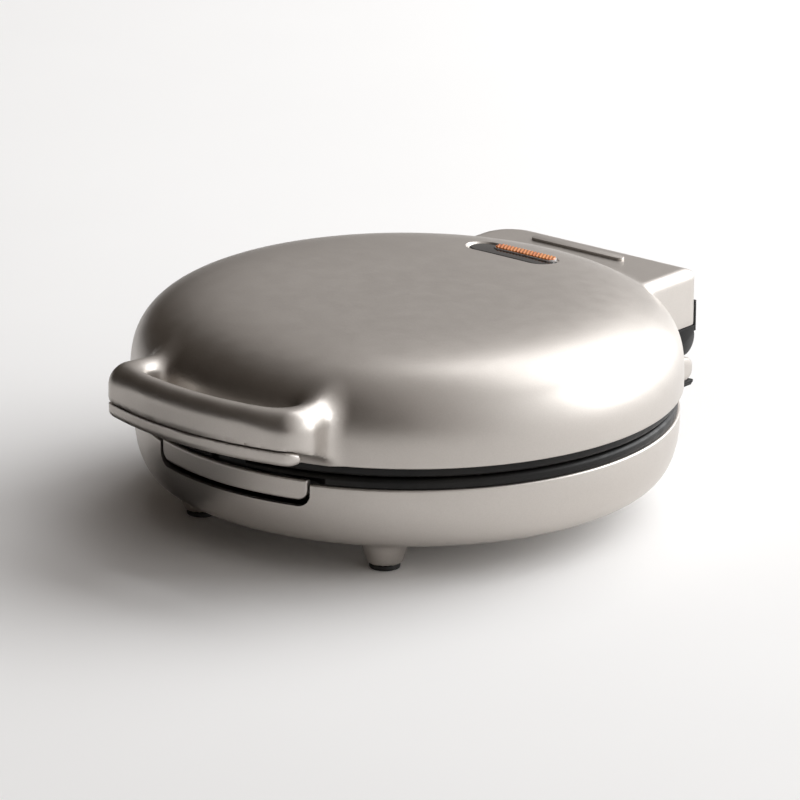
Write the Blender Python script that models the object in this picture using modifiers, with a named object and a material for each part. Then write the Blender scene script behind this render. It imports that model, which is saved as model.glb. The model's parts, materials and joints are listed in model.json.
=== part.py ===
"""Round electric donut maker with a hinged lid, modelled as it would come apart on a bench.

Metres, +Z up, handle towards -Y, hinge towards +Y. The origin is on the table, under the middle of the
bounding box. Inside this script every length is measured from the axis of the round body, and the root
empty carries that axis to its place.
"""

import math

import bmesh
import bpy
from mathutils import Matrix, Vector

# Reach of the object in front of and behind the body's axis
HANDLE_REACH = 0.134
REAR_REACH = 0.128
AXIS_Y = (HANDLE_REACH - REAR_REACH) / 2

# Heights above the table
BASE_BOTTOM = 0.0121
BASE_RIM = 0.0404
PARTING = 0.0450
LID_RIM = 0.0495
LID_TOP = 0.0889

# Round shells
WALL = 0.0022
GAP = 0.0003
WELD = 0.000001
LID_RADIUS = 0.1125
LID_WALL_TOP = LID_RIM + 0.0050
LID_FLATNESS = 6.07
LID_SHOULDER = 2.56
BASE_RADIUS = 0.1112
BASE_WALL_FOOT = 0.0366
BASE_FLATNESS = 22.3
BASE_CORNER = 1.84
ROUND_SEGMENTS = 44
PROFILE_STEPS = 6

# Hinge, across the back
HINGE_Y = 0.1195
HINGE_Z = 0.0487
KNUCKLE_RADIUS = 0.0043
PIN_RADIUS = 0.0016
HINGE_SEATS = (0.0200, 0.0358, 0.0363, 0.0485)

# Hinge boxes of the lid and of the base
BOX_HALF = 0.0512
BOX_REAR = 0.1266
BOX_TOP = 0.0781
BOX_FOOT = 0.0533
BOX_ROUND = 0.0062
REAR_HALF = 0.0505
REAR_TOP = 0.0404
REAR_BACK = 0.1270
REAR_FOOT = 0.0295
REAR_ROUND = 0.0085

# Handle loop: a bar on a wide arc between two broader arms
HANDLE_HALF = 0.0545
HANDLE_BAR = 0.0095
HANDLE_ARM = 0.0180
HANDLE_FRONT_RADIUS = 0.150
HANDLE_CORNER = 0.010
HANDLE_TOP = 0.0755
HANDLE_SEAM = 0.0605
HANDLE_FOOT = 0.0555
COVER_END_Y = -0.1150
HANDLE_SCREW_X = 0.0430
HANDLE_SCREW_Y = -0.1210

# Black frames that carry the baking plates
FRAME_RADIUS = 0.1106
FRAME_BORE = 0.1001
FRAME_SPIGOT = 0.1046
FRAME_SCREW_RADIUS = 0.1042
FRAME_SCREW_ANGLES = (35, 145, 215, 325)

# Baking plates: one donut in the middle and six around it
PLATE_RADIUS = 0.0997
PLATE_THICKNESS = 0.0122
DONUT_MEAN_RADIUS = 0.0195
DONUT_HALF_WIDTH = 0.0100
DONUT_DEPTH = 0.0093
DONUT_PITCH = 0.0635
DONUT_COUNT_AROUND = 6
PLATE_SCREW_RADIUS = 0.0367

# Heaters
ELEMENT_RADIUS = 0.070
ELEMENT_TUBE = 0.0032
ELEMENT_OFF_PLATE = 0.0036
REFLECTOR_RADIUS = 0.094
REFLECTOR_SHEET = 0.0008

# Front latch
LATCH_HALF = 0.0395
LATCH_BOTTOM = 0.0334
LATCH_TOP = 0.0402
RECESS_HALF = 0.0410
RECESS_BOTTOM = 0.0307
LATCH_Y = -0.1048
LATCH_Z = 0.0373
LATCH_HUB_HALF = 0.0120
LATCH_PIN_RADIUS = 0.0012
TONGUE_HALF = 0.0070
NOTCH_HALF = 0.0090

# Feet
FOOT_X = 0.0484
FOOT_Y = 0.0715
FOOT_TOP_RADIUS = 0.0100
FOOT_TIP_RADIUS = 0.0070
PAD_RADIUS = 0.0062
PAD_HEIGHT = 0.0020

# Indicator window in the lid, and the rib on top of the hinge box
WINDOW_Y = 0.0680
WINDOW_HALF_LENGTH = 0.0216
WINDOW_HALF_WIDTH = 0.0068
RIB_Y = 0.1085
RIB_HALF_LENGTH = 0.0238
RIB_HALF_WIDTH = 0.0022
RIB_HEIGHT = 0.0012

COLOURS = {
    "champagne": ((0.56, 0.53, 0.50), 0.36, 0.75),
    "black": ((0.030, 0.029, 0.027), 0.45, 0.0),
    "coating": ((0.045, 0.043, 0.042), 0.50, 0.2),
    "aluminium": ((0.72, 0.72, 0.73), 0.40, 1.0),
    "steel": ((0.60, 0.60, 0.62), 0.30, 1.0),
    "rubber": ((0.035, 0.033, 0.032), 0.85, 0.0),
    "amber": ((0.90, 0.36, 0.08), 0.20, 0.0),
    "ceramic": ((0.82, 0.80, 0.76), 0.60, 0.0),
    "glass": ((0.85, 0.75, 0.65), 0.10, 0.0),
    "board": ((0.55, 0.45, 0.25), 0.60, 0.0),
}


# ---------------------------------------------------------------- tools


def clear_scene():
    for obj in list(bpy.data.objects):
        bpy.data.objects.remove(obj)


def mesh_object(name, mesh):
    obj = bpy.data.objects.new(name, mesh)
    bpy.context.scene.collection.objects.link(obj)
    return obj


def tidy(mesh, reach=WELD):
    """Welds a baked mesh, drops faces with no area and turns every face outwards."""
    bm = bmesh.new()
    bm.from_mesh(mesh)
    bmesh.ops.remove_doubles(bm, verts=bm.verts, dist=reach)
    bmesh.ops.dissolve_degenerate(bm, dist=reach, edges=bm.edges)
    bmesh.ops.recalc_face_normals(bm, faces=bm.faces)
    bm.to_mesh(mesh)
    bm.free()


def bake(obj):
    """Turns an object and its modifiers into a plain mesh object of the same name and place."""
    bpy.context.view_layer.update()
    graph = bpy.context.evaluated_depsgraph_get()
    mesh = bpy.data.meshes.new_from_object(obj.evaluated_get(graph))
    tidy(mesh)
    if obj.type == "MESH":
        obj.modifiers.clear()
        obj.data = mesh
        return obj
    name, world = obj.name, obj.matrix_world.copy()
    bpy.data.objects.remove(obj)
    made = mesh_object(name, mesh)
    made.matrix_world = world
    return made


def combine(target, operation, *others):
    """Joins, cuts or intersects target with each of the others, which are then removed."""
    for other in others:
        step = target.modifiers.new(operation.lower(), "BOOLEAN")
        step.operation = operation
        step.object = other
        bake(target)
        bpy.data.objects.remove(other)
    return target


def join(target, *others):
    return combine(target, "UNION", *others)


def cut(target, *others):
    return combine(target, "DIFFERENCE", *others)


def keep_inside(target, *others):
    return combine(target, "INTERSECT", *others)


def turned(name, profile, segments=ROUND_SEGMENTS, closed=False):
    """A profile of (radius, height) points turned about Z; a closed profile gives a ring."""
    mesh = bpy.data.meshes.new(name)
    edges = [(i, i + 1) for i in range(len(profile) - 1)]
    if closed:
        edges.append((len(profile) - 1, 0))
    mesh.from_pydata([(r, 0, z) for r, z in profile], edges, [])
    obj = mesh_object(name, mesh)
    screw = obj.modifiers.new("turn", "SCREW")
    screw.steps = screw.render_steps = segments
    screw.use_merge_vertices = True
    screw.merge_threshold = 1e-6
    return bake(obj)


def block(name, low, high, rounding=0.0, segments=3):
    """A box between two corners, its edges rounded if asked."""
    low, high = Vector(low), Vector(high)
    bpy.ops.mesh.primitive_cube_add(size=1, location=(low + high) / 2)
    obj = bpy.context.active_object
    obj.name = name
    obj.scale = high - low
    bpy.ops.object.transform_apply(location=True, rotation=False, scale=True)
    if rounding:
        bevel = obj.modifiers.new("round", "BEVEL")
        bevel.width = rounding
        bevel.segments = segments
        bake(obj)
    return obj


def rod(name, start, end, radius, end_radius=None, sides=16):
    """A round bar or cone between two points."""
    start, end = Vector(start), Vector(end)
    bpy.ops.mesh.primitive_cone_add(
        vertices=sides,
        radius1=radius,
        radius2=radius if end_radius is None else end_radius,
        depth=(end - start).length,
        location=(start + end) / 2,
        rotation=(end - start).to_track_quat("Z", "Y").to_euler(),
    )
    obj = bpy.context.active_object
    obj.name = name
    bpy.ops.object.transform_apply(location=True, rotation=True, scale=True)
    return obj


def slab(name, loops, bottom, top):
    """A flat outline with any holes, as a filled 2D curve, from bottom to top."""
    curve = bpy.data.curves.new(name, "CURVE")
    curve.dimensions = "2D"
    curve.fill_mode = "BOTH"
    curve.extrude = (top - bottom) / 2
    for loop in loops:
        spline = curve.splines.new("POLY")
        spline.points.add(len(loop) - 1)
        spline.use_cyclic_u = True
        for point, (x, y) in zip(spline.points, loop):
            point.co = (x, y, 0, 1)
    obj = mesh_object(name, curve)
    obj.location.z = (top + bottom) / 2
    obj = bake(obj)
    obj.data.transform(obj.matrix_world)
    obj.matrix_world = Matrix.Identity(4)
    return obj


def stood_up(obj, plane):
    """Turns a slab's outline into the plane named, with its thickness along the remaining axis."""
    turns = {
        "YZ": Matrix(((0, 0, 1, 0), (1, 0, 0, 0), (0, 1, 0, 0), (0, 0, 0, 1))),
        "XZ": Matrix(((1, 0, 0, 0), (0, 0, 1, 0), (0, 1, 0, 0), (0, 0, 0, 1))),
    }
    obj.data.transform(turns[plane])
    tidy(obj.data)
    return obj


def wire(name, points, radius, cyclic=False):
    curve = bpy.data.curves.new(name, "CURVE")
    curve.dimensions = "3D"
    curve.bevel_depth = radius
    curve.bevel_resolution = 2
    curve.use_fill_caps = True
    spline = curve.splines.new("POLY")
    spline.points.add(len(points) - 1)
    spline.use_cyclic_u = cyclic
    for point, place in zip(spline.points, points):
        point.co = (*place, 1)
    return bake(mesh_object(name, curve))


def round_edges(obj, chosen, width, segments=3):
    """Rounds the edges whose two ends both satisfy chosen(point)."""
    bm = bmesh.new()
    bm.from_mesh(obj.data)
    edges = [e for e in bm.edges if all(chosen(v.co) for v in e.verts) and len(e.link_faces) == 2]
    edges = [e for e in edges if e.calc_face_angle() > math.radians(35)]
    bmesh.ops.bevel(bm, geom=edges, offset=width, segments=segments, profile=0.5, affect="EDGES")
    bm.to_mesh(obj.data)
    bm.free()
    tidy(obj.data)
    return obj


def arc(centre, radius, start, end, steps):
    """Points on an arc, with angles in radians."""
    turn = [start + (end - start) * i / steps for i in range(steps + 1)]
    return [(centre[0] + radius * math.cos(a), centre[1] + radius * math.sin(a)) for a in turn]


def oblong(half_length, half_width, centre, steps=6):
    """A slot outline with round ends, along X."""
    x, y = centre
    reach = half_length - half_width
    right = arc((x + reach, y), half_width, -math.pi / 2, math.pi / 2, steps)
    left = arc((x - reach, y), half_width, math.pi / 2, 3 * math.pi / 2, steps)
    return right + left


def around(radius, degrees, height=0.0):
    a = math.radians(degrees)
    return Vector((radius * math.cos(a), radius * math.sin(a), height))


# ---------------------------------------------------------------- outlines


def lid_profile(inset=0.0, rim=LID_RIM):
    """Half section of the lid from its top to its rim: a superellipse above a short upright wall."""
    radius = LID_RADIUS - inset
    rise = LID_TOP - inset - LID_WALL_TOP
    points = [(0.0, LID_TOP - inset)]
    for i in range(1, PROFILE_STEPS + 1):
        t = math.pi / 2 * (i / PROFILE_STEPS)
        across = math.sin(t) ** (2 / LID_FLATNESS)
        up = max(0.0, math.cos(t)) ** (2 / LID_SHOULDER)
        points.append((radius * across, LID_WALL_TOP + rise * up))
    return points + [(radius, rim), (0.0, rim)]


def base_profile(inset=0.0, rim=BASE_RIM):
    """Half section of the base bowl, from its rim down to its flat bottom."""
    radius = BASE_RADIUS - inset
    drop = BASE_WALL_FOOT - BASE_BOTTOM - inset
    points = [(0.0, rim), (radius, rim)]
    for i in range(PROFILE_STEPS, -1, -1):
        t = math.pi / 2 * (i / PROFILE_STEPS)
        across = math.sin(t) ** (2 / BASE_FLATNESS)
        down = max(0.0, math.cos(t)) ** (2 / BASE_CORNER)
        points.append((radius * across, BASE_WALL_FOOT - drop * down))
    return points


def handle_outline(half, front, corner, back):
    """Plan of the handle, a bar on a wide arc with round corners and two arms reaching back."""
    centre_y = HANDLE_FRONT_RADIUS - front
    corner_x = half - corner
    corner_y = centre_y - math.sqrt((HANDLE_FRONT_RADIUS - corner) ** 2 - corner_x**2)
    turn = math.atan2(corner_y - centre_y, corner_x)
    right = arc((corner_x, corner_y), corner, 0.0, turn, 4)
    middle = arc((0, centre_y), HANDLE_FRONT_RADIUS, turn, -math.pi - turn, 8)[1:-1]
    left = [(-x, y) for x, y in reversed(right)]
    return [(half, back), *right, *middle, *left, (-half, back)]


# ---------------------------------------------------------------- lid


def handle_bar(name, inset, back, bottom, top):
    """The handle's loop as a solid, drawn in from its faces by an inset."""
    reach, bar_back = HANDLE_REACH - inset, HANDLE_REACH - HANDLE_BAR + inset
    outer = handle_outline(HANDLE_HALF - inset, reach, HANDLE_CORNER - inset, back)
    inner = handle_outline(HANDLE_HALF - HANDLE_ARM + inset, bar_back, HANDLE_CORNER - 0.002, back + 0.03)
    return cut(slab(name, [outer], bottom, top), slab("opening", [inner], bottom - 0.001, top + 0.001))


def handle_upper():
    bar = handle_bar("handle_upper", 0.0, -0.0875, HANDLE_SEAM, HANDLE_TOP)
    return round_edges(bar, lambda p: p.z > HANDLE_TOP - 1e-5, 0.0035)


def handle_webs():
    """What carries the arms down to the lid's rim behind the lower cover."""
    webs = handle_bar("webs", 0.0, -0.0875, LID_RIM, HANDLE_SEAM + 0.001)
    side = [
        (COVER_END_Y + GAP, HANDLE_SEAM + 0.002),
        (COVER_END_Y + GAP, HANDLE_FOOT),
        (-0.104, LID_RIM + 0.0004),
        (-0.090, LID_RIM + 0.0004),
        (-0.090, HANDLE_SEAM + 0.002),
    ]
    return keep_inside(webs, stood_up(slab("side", [side], -0.06, 0.06), "YZ"))


def lid_box():
    """The hinge box behind the dome, open below."""
    box = block("box", (-BOX_HALF, 0.060, 0.040), (BOX_HALF, BOX_REAR, BOX_TOP), BOX_ROUND)
    return cut(box, block("trim", (-0.08, 0.03, 0.03), (0.08, 0.15, BOX_FOOT)))


def lid_bosses(angle):
    """A screw post of the lid, from the frame up to the dome."""
    foot = around(FRAME_SCREW_RADIUS - 0.001, angle, LID_RIM + 0.0026)
    head = around(FRAME_SCREW_RADIUS - 0.001, angle, LID_WALL_TOP + 0.0165)
    return rod("boss", foot, head, 0.0034, sides=12)


def make_lid_shell():
    shell = turned("lid_shell", lid_profile())
    join(shell, lid_box(), handle_upper(), handle_webs())
    inner = turned("inner", lid_profile(WALL, LID_RIM - 0.004))
    box_inner = block(
        "box_inner",
        (-BOX_HALF + WALL, 0.050, 0.040),
        (BOX_HALF - WALL, BOX_REAR - WALL, BOX_TOP - WALL),
        BOX_ROUND - WALL,
        2,
    )
    channel = handle_bar("channel", WALL, -0.100, HANDLE_SEAM - 0.001, HANDLE_TOP - WALL)
    cut(channel, block("arm_end", (-0.06, COVER_END_Y - 0.0010, 0.05), (0.06, -0.06, 0.09)))
    cut(shell, join(inner, box_inner), channel)
    for side in (-1, 1):
        x, y = side * HANDLE_SCREW_X, HANDLE_SCREW_Y
        join(shell, rod("post", (x, y, HANDLE_SEAM), (x, y, HANDLE_TOP - 0.001), 0.0032, sides=12))
        cut(shell, rod("hole", (x, y, 0.055), (x, y, HANDLE_TOP - 0.0045), 0.0016, sides=10))
    for angle in FRAME_SCREW_ANGLES:
        join(shell, lid_bosses(angle))
        start, end = around(FRAME_SCREW_RADIUS, angle, 0.045), around(FRAME_SCREW_RADIUS, angle, 0.0605)
        cut(shell, rod("hole", start, end, 0.0016, sides=10))
    window = slab(
        "window", [oblong(WINDOW_HALF_LENGTH, WINDOW_HALF_WIDTH, (0, WINDOW_Y))], 0.070, 0.100
    )
    catch = block("catch", (0.0006 - NOTCH_HALF, -0.1113, 0.0502), (NOTCH_HALF - 0.0006, -0.1086, 0.0520))
    rib_loop = oblong(RIB_HALF_LENGTH, RIB_HALF_WIDTH, (0, RIB_Y), 4)
    rib = slab("rib", [rib_loop], BOX_TOP - 0.001, BOX_TOP + RIB_HEIGHT)
    vent = block("rear_window", (-0.046, 0.120, 0.0500), (0.046, 0.130, 0.0625))
    join(cut(shell, window, vent), catch, rib)
    tidy(shell.data, 60 * WELD)
    return shell


def make_handle_cover():
    cover = handle_bar("handle_lower_cover", 0.0, COVER_END_Y, HANDLE_FOOT, HANDLE_SEAM - GAP)
    for side in (-1, 1):
        x, y = side * HANDLE_SCREW_X, HANDLE_SCREW_Y
        cut(
            cover,
            rod("sink", (x, y, HANDLE_FOOT - 0.002), (x, y, HANDLE_FOOT + 0.0026), 0.0036, sides=12),
            rod("hole", (x, y, HANDLE_FOOT + 0.001), (x, y, HANDLE_SEAM + 0.002), 0.0020, sides=10),
        )

    def outside_edge(p):
        return p.z < HANDLE_FOOT + 1e-5 and math.hypot(abs(p.x) - HANDLE_SCREW_X, p.y - HANDLE_SCREW_Y) > 0.0045

    return round_edges(cover, outside_edge, 0.0014, 2)


def make_screw(name, head, tip, head_radius=0.0030, shank=0.0013):
    """A pan-head screw with a crosswise slot, from the face of its head to its tip."""
    head, tip = Vector(head), Vector(tip)
    along = (tip - head).normalized()
    screw = rod(name, head, head + along * 0.0018, head_radius, sides=12)
    join(screw, rod("shank", head + along * 0.0010, tip, shank, sides=8))
    across = Vector((0.0045, 0.0004, 0.0005))
    return cut(screw, block("slot", head - across, head + across))


def make_upper_frame():
    section = [
        (FRAME_BORE, LID_RIM + 0.0006),
        (FRAME_SPIGOT, LID_RIM + 0.0006),
        (FRAME_SPIGOT + 0.0018, LID_RIM + 0.0022),
        (FRAME_RADIUS - 0.0008, LID_RIM + 0.0022),
        (FRAME_RADIUS - 0.0008, LID_RIM - GAP),
        (FRAME_RADIUS, LID_RIM - GAP),
        (FRAME_RADIUS, PARTING + 0.0015),
        (FRAME_RADIUS - 0.0012, PARTING + 0.0003),
        (FRAME_BORE, PARTING + 0.0003),
    ]
    ring = turned("upper_plate_frame", section, closed=True)
    seat_in, seat_out = HINGE_SEATS[2], HINGE_SEATS[3]
    join(ring, block("bridge", (-seat_out, 0.1020, PARTING + GAP), (seat_out, 0.1130, LID_RIM + 0.0015)))
    for side in (-1, 1):
        low, high = sorted((side * seat_in, side * seat_out))
        tail = block("tail", (low, 0.105, PARTING + GAP), (high, HINGE_Y, HINGE_Z + KNUCKLE_RADIUS - 1e-4))
        knuckle = rod("knuckle", (low, HINGE_Y, HINGE_Z), (high, HINGE_Y, HINGE_Z), KNUCKLE_RADIUS)
        join(ring, join(tail, knuckle))
        bore = PIN_RADIUS + GAP
        cut(ring, rod("bore", (low - 0.001, HINGE_Y, HINGE_Z), (side * 0.0475, HINGE_Y, HINGE_Z), bore)
            if side > 0 else
            rod("bore", (high + 0.001, HINGE_Y, HINGE_Z), (side * 0.0475, HINGE_Y, HINGE_Z), bore))
    cut(ring, block("notch", (-NOTCH_HALF, -0.120, 0.040), (NOTCH_HALF, -0.1028, 0.060)))
    return frame_screw_holes(ring, PARTING - 0.001, PARTING + 0.0024, 0.060)


def frame_screw_holes(ring, face, seat, past):
    """Clearance holes and head recesses of the frame screws; face is just outside the parting side."""
    for angle in FRAME_SCREW_ANGLES:
        p = around(FRAME_SCREW_RADIUS, angle)
        cut(
            ring,
            rod("hole", p + Vector((0, 0, face)), p + Vector((0, 0, past)), 0.0018, sides=12),
            rod("sink", p + Vector((0, 0, face)), p + Vector((0, 0, seat)), 0.0035, sides=16),
        )
    return ring


def make_lower_frame():
    top = PARTING - 0.0003
    section = [
        (FRAME_BORE, top),
        (FRAME_RADIUS - 0.0016, top),
        (FRAME_RADIUS - 0.0004, top - 0.0012),
        (FRAME_RADIUS - 0.0004, BASE_RIM + GAP),
        (BASE_RADIUS - WALL - GAP, BASE_RIM + GAP),
        (BASE_RADIUS - WALL - GAP, BASE_RIM - 0.0022),
        (FRAME_SPIGOT + 0.0018, BASE_RIM - 0.0022),
        (FRAME_SPIGOT, BASE_RIM - 0.0006),
        (FRAME_BORE, BASE_RIM - 0.0006),
    ]
    ring = turned("lower_plate_frame", section, closed=True)
    inner, outer = HINGE_SEATS[0], HINGE_SEATS[1]
    join(ring, block("bridge", (-0.0485, 0.100, BASE_RIM + 0.0010), (0.0485, 0.1130, top)))
    for side in (-1, 1):
        low, high = sorted((side * inner, side * outer))
        side_view = [(0.1115, BASE_RIM + 0.0014), (HINGE_Y, BASE_RIM + 0.0014), (HINGE_Y, HINGE_Z)]
        side_view += [(0.1155, HINGE_Z), (0.1138, HINGE_Z - 0.0020), (0.1138, top - 0.0005), (0.1115, top - 0.0005)]
        tail = stood_up(slab("tail", [side_view], low, high), "YZ")
        knuckle = rod("knuckle", (low, HINGE_Y, HINGE_Z), (high, HINGE_Y, HINGE_Z), KNUCKLE_RADIUS)
        join(ring, join(tail, knuckle))
        cut(ring, rod("bore", (low - 0.001, HINGE_Y, HINGE_Z), (high + 0.001, HINGE_Y, HINGE_Z), PIN_RADIUS + GAP))
    cut(
        ring,
        block("notch", (-NOTCH_HALF, -0.120, 0.030), (NOTCH_HALF, -0.1036, 0.060)),
        block("latch_room", (-0.043, -0.120, 0.030), (0.043, -0.1005, 0.0420)),
    )
    return frame_screw_holes(ring, PARTING + 0.001, PARTING - 0.0024, 0.030)


def donut_cutter(place, height):
    bpy.ops.mesh.primitive_torus_add(
        location=(place.x, place.y, height),
        major_segments=18,
        minor_segments=8,
        major_radius=DONUT_MEAN_RADIUS,
        minor_radius=DONUT_HALF_WIDTH,
    )
    ring = bpy.context.active_object
    ring.scale.z = DONUT_DEPTH / DONUT_HALF_WIDTH
    bpy.ops.object.transform_apply(location=True, rotation=True, scale=True)
    return ring


def make_plate(name, side):
    """A cast plate with its ring moulds; side is 1 for the upper plate and -1 for the lower one."""
    face = PARTING + side * 0.0002
    back = face + side * PLATE_THICKNESS
    plate = rod(name, (0, 0, face), (0, 0, back), PLATE_RADIUS, sides=ROUND_SEGMENTS)
    centres = [around(DONUT_PITCH, 60 * k + 30) for k in range(DONUT_COUNT_AROUND)]
    for place in [Vector((0, 0, 0)), *centres]:
        cut(plate, donut_cutter(place, face - side * 0.0003))
    for k in range(3):
        p = around(PLATE_SCREW_RADIUS, 120 * k)
        hole = rod("hole", (p.x, p.y, back + side * 0.001), (p.x, p.y, back - side * 0.0075), 0.0016, sides=10)
        cut(plate, hole)
    return plate


def make_element(name, side):
    """A tubular heater bent into an open ring, with its two cold ends turned to the rear."""
    height = PARTING + side * (0.0002 + PLATE_THICKNESS + ELEMENT_OFF_PLATE)
    start, sweep, steps = math.radians(108), math.radians(324), 26
    points = [(*p, height) for p in arc((0, 0), ELEMENT_RADIUS, start, start + sweep, steps)]
    first, last = Vector(points[0]), Vector(points[-1])
    back = Vector((0, 0.011, 0))
    return wire(name, [first + back, *points, last + back], ELEMENT_TUBE)


def make_reflector(name, side):
    """A dished sheet that keeps the heat on the plate, with holes for the plate's screws."""
    near = PARTING + side * 0.0196
    far = near + side * REFLECTOR_SHEET
    section = [
        (0.0, near),
        (REFLECTOR_RADIUS - 0.004, near),
        (REFLECTOR_RADIUS, near - side * 0.004),
        (REFLECTOR_RADIUS + 0.0008, near - side * 0.004),
        (REFLECTOR_RADIUS - 0.0034, far),
        (0.0, far),
    ]
    dish = turned(name, section, segments=36)
    for k in range(3):
        p = around(PLATE_SCREW_RADIUS, 120 * k)
        cut(dish, rod("hole", (p.x, p.y, near - side * 0.003), (p.x, p.y, far + side * 0.003), 0.0018, sides=10))
    return dish


def make_plate_screws(name, side):
    screws = []
    for k in range(3):
        p = around(PLATE_SCREW_RADIUS, 120 * k)
        head = (p.x, p.y, PARTING + side * 0.0225)
        tip = (p.x, p.y, PARTING + side * 0.0060)
        screws.append(make_screw(f"{name}_{k + 1}", head, tip))
    return screws


def make_frame_screws(name, side):
    screws = []
    for k, angle in enumerate(FRAME_SCREW_ANGLES):
        head = around(FRAME_SCREW_RADIUS, angle, PARTING + side * 0.0004)
        tip = around(FRAME_SCREW_RADIUS, angle, PARTING + side * 0.0140)
        screws.append(make_screw(f"{name}_{k + 1}", head, tip))
    return screws


def lid_height(y):
    """Height of the lid's outer face on the centre line."""
    return LID_WALL_TOP + (LID_TOP - LID_WALL_TOP) * (1 - (y / LID_RADIUS) ** LID_FLATNESS) ** (1 / LID_SHOULDER)


def make_indicator():
    """Black bezel, amber lens, glow lamp and its holder under the window."""
    top = lid_height(WINDOW_Y)
    seat = top - WALL - 0.0016
    bezel = slab(
        "indicator_bezel",
        [oblong(WINDOW_HALF_LENGTH + 0.002, WINDOW_HALF_WIDTH + 0.002, (0, WINDOW_Y))],
        seat - 0.0012,
        seat,
    )
    raised = oblong(WINDOW_HALF_LENGTH - GAP, WINDOW_HALF_WIDTH - GAP, (0, WINDOW_Y))
    join(bezel, slab("raised", [raised], seat - 0.001, top - 0.0012))
    lens_place = (0.0040, WINDOW_Y + 0.0022)
    cut(bezel, slab("lens_hole", [oblong(0.0158, 0.0034, lens_place)], seat - 0.01, top + 0.01))
    lens = slab("indicator_lens", [oblong(0.0155, 0.0031, lens_place)], seat - 0.0030, top + 0.0004)
    round_edges(lens, lambda p: p.z > top, 0.0008, 2)
    lamp_z = seat - 0.0075
    lamp = rod("indicator_lamp", (-0.006, lens_place[1], lamp_z), (0.008, lens_place[1], lamp_z), 0.0024)
    round_edges(lamp, lambda p: p.x > 0.0079, 0.0012, 2)
    holder = block("lamp_holder", (-0.016, WINDOW_Y - 0.007, lamp_z - 0.0052), (0.016, WINDOW_Y + 0.010, lamp_z - 0.0030))
    return bezel, lens, lamp, holder


def make_hinge_rear_cover():
    """Black cover set into the back of the hinge box, leaning out towards its top."""
    side = [
        (0.1238, 0.0512),
        (0.1262, 0.0512),
        (0.1279, 0.0628),
        (0.1270, 0.0638),
        (0.1269, 0.0638),
        (0.1269, 0.0622),
        (0.1238, 0.0622),
    ]
    half = 0.0457
    return stood_up(slab("hinge_rear_cover", [side], -half, half), "YZ")


# ---------------------------------------------------------------- base


def rear_outline(inset=0.0, foot=REAR_FOOT):
    """Side view of the base's hinge box: flat top rolling over into the back."""
    round_back = REAR_ROUND - inset
    centre = (REAR_BACK - REAR_ROUND, REAR_TOP - REAR_ROUND)
    curve = arc(centre, round_back, math.pi / 2, 0.0, 6)
    return [(0.070, REAR_TOP - inset), *curve, (REAR_BACK - inset, foot), (0.070, foot)]


def foot_post(x, y):
    return rod("post", (x, y, PAD_HEIGHT + GAP), (x, y, BASE_BOTTOM + 0.0014), FOOT_TIP_RADIUS, FOOT_TOP_RADIUS)


def feet_places():
    return {
        "front_left": (-FOOT_X, -FOOT_Y),
        "front_right": (FOOT_X, -FOOT_Y),
        "rear_left": (-FOOT_X, FOOT_Y),
        "rear_right": (FOOT_X, FOOT_Y),
    }


def latch_window(name, half, bottom, corner, low, high):
    """A U outline in the front view, round at its bottom corners, pushed through along Y."""
    right = arc((half - corner, bottom + corner), corner, 0.0, -math.pi / 2, 4)
    loop = [(half, 0.055), *right, *[(-x, z) for x, z in reversed(right)], (-half, 0.055)]
    return stood_up(slab(name, [loop], low, high), "XZ")


def make_base_shell():
    shell = turned("base_shell", base_profile())
    rear = stood_up(slab("rear", [rear_outline()], -REAR_HALF, REAR_HALF), "YZ")
    round_edges(rear, lambda p: abs(abs(p.x) - REAR_HALF) < 1e-5 and p.y > 0.1, 0.0012, 2)
    join(shell, rear, *[foot_post(x, y) for x, y in feet_places().values()])
    inner = turned("inner", base_profile(WALL, BASE_RIM + 0.004))
    rear_inner = stood_up(
        slab("rear_inner", [rear_outline(WALL, REAR_FOOT - 0.002)], WALL - REAR_HALF, REAR_HALF - WALL), "YZ"
    )
    cut(shell, join(inner, rear_inner))
    cut(shell, latch_window("recess", RECESS_HALF, RECESS_BOTTOM, 0.0060, -0.130, -0.095))
    for x, y in feet_places().values():
        cut(shell, rod("plug", (x, y, 0.0), (x, y, 0.0056), 0.0033, sides=12))
    for angle in FRAME_SCREW_ANGLES:
        foot = around(FRAME_SCREW_RADIUS - 0.001, angle, BASE_BOTTOM + 0.0056)
        head = around(FRAME_SCREW_RADIUS - 0.001, angle, BASE_RIM - 0.0026)
        join(shell, rod("boss", foot, head, 0.0034, sides=12))
        start, end = around(FRAME_SCREW_RADIUS, angle, 0.0450), around(FRAME_SCREW_RADIUS, angle, 0.0300)
        cut(shell, rod("hole", start, end, 0.0016, sides=10))
    for side in (-1, 1):
        low, high = sorted((side * (LATCH_HUB_HALF + GAP), side * (LATCH_HUB_HALF + 0.0033)))
        ear = join(
            block("ear", (low, -0.1070, 0.0290), (high, -0.1022, LATCH_TOP - 0.0004)),
            block("ear_foot", (low, -0.1086, 0.0265), (high, -0.1022, 0.0303)),
        )
        join(shell, ear)
        cut(shell, rod("bore", (low - 0.001, LATCH_Y, LATCH_Z), (high + 0.001, LATCH_Y, LATCH_Z), 0.0015, sides=12))
    gland_hole = rod("gland_hole", (0, 0.110, 0.0340), (0, 0.135, 0.0340), 0.0040)
    return cut(shell, gland_hole)


def make_base_rear_cover():
    """Black pan that closes the base's hinge box from below."""
    depth = 0.0032
    low, high = (-REAR_HALF, 0.112, REAR_FOOT - depth), (REAR_HALF, REAR_BACK, REAR_FOOT - GAP)
    pan = block("base_rear_cover", low, high)
    round_edges(pan, lambda p: p.z < REAR_FOOT - depth + 1e-5, 0.0020, 2)
    bowl = turned("bowl", base_profile(-GAP, BASE_RIM + 0.004))
    return cut(pan, bowl)


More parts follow.
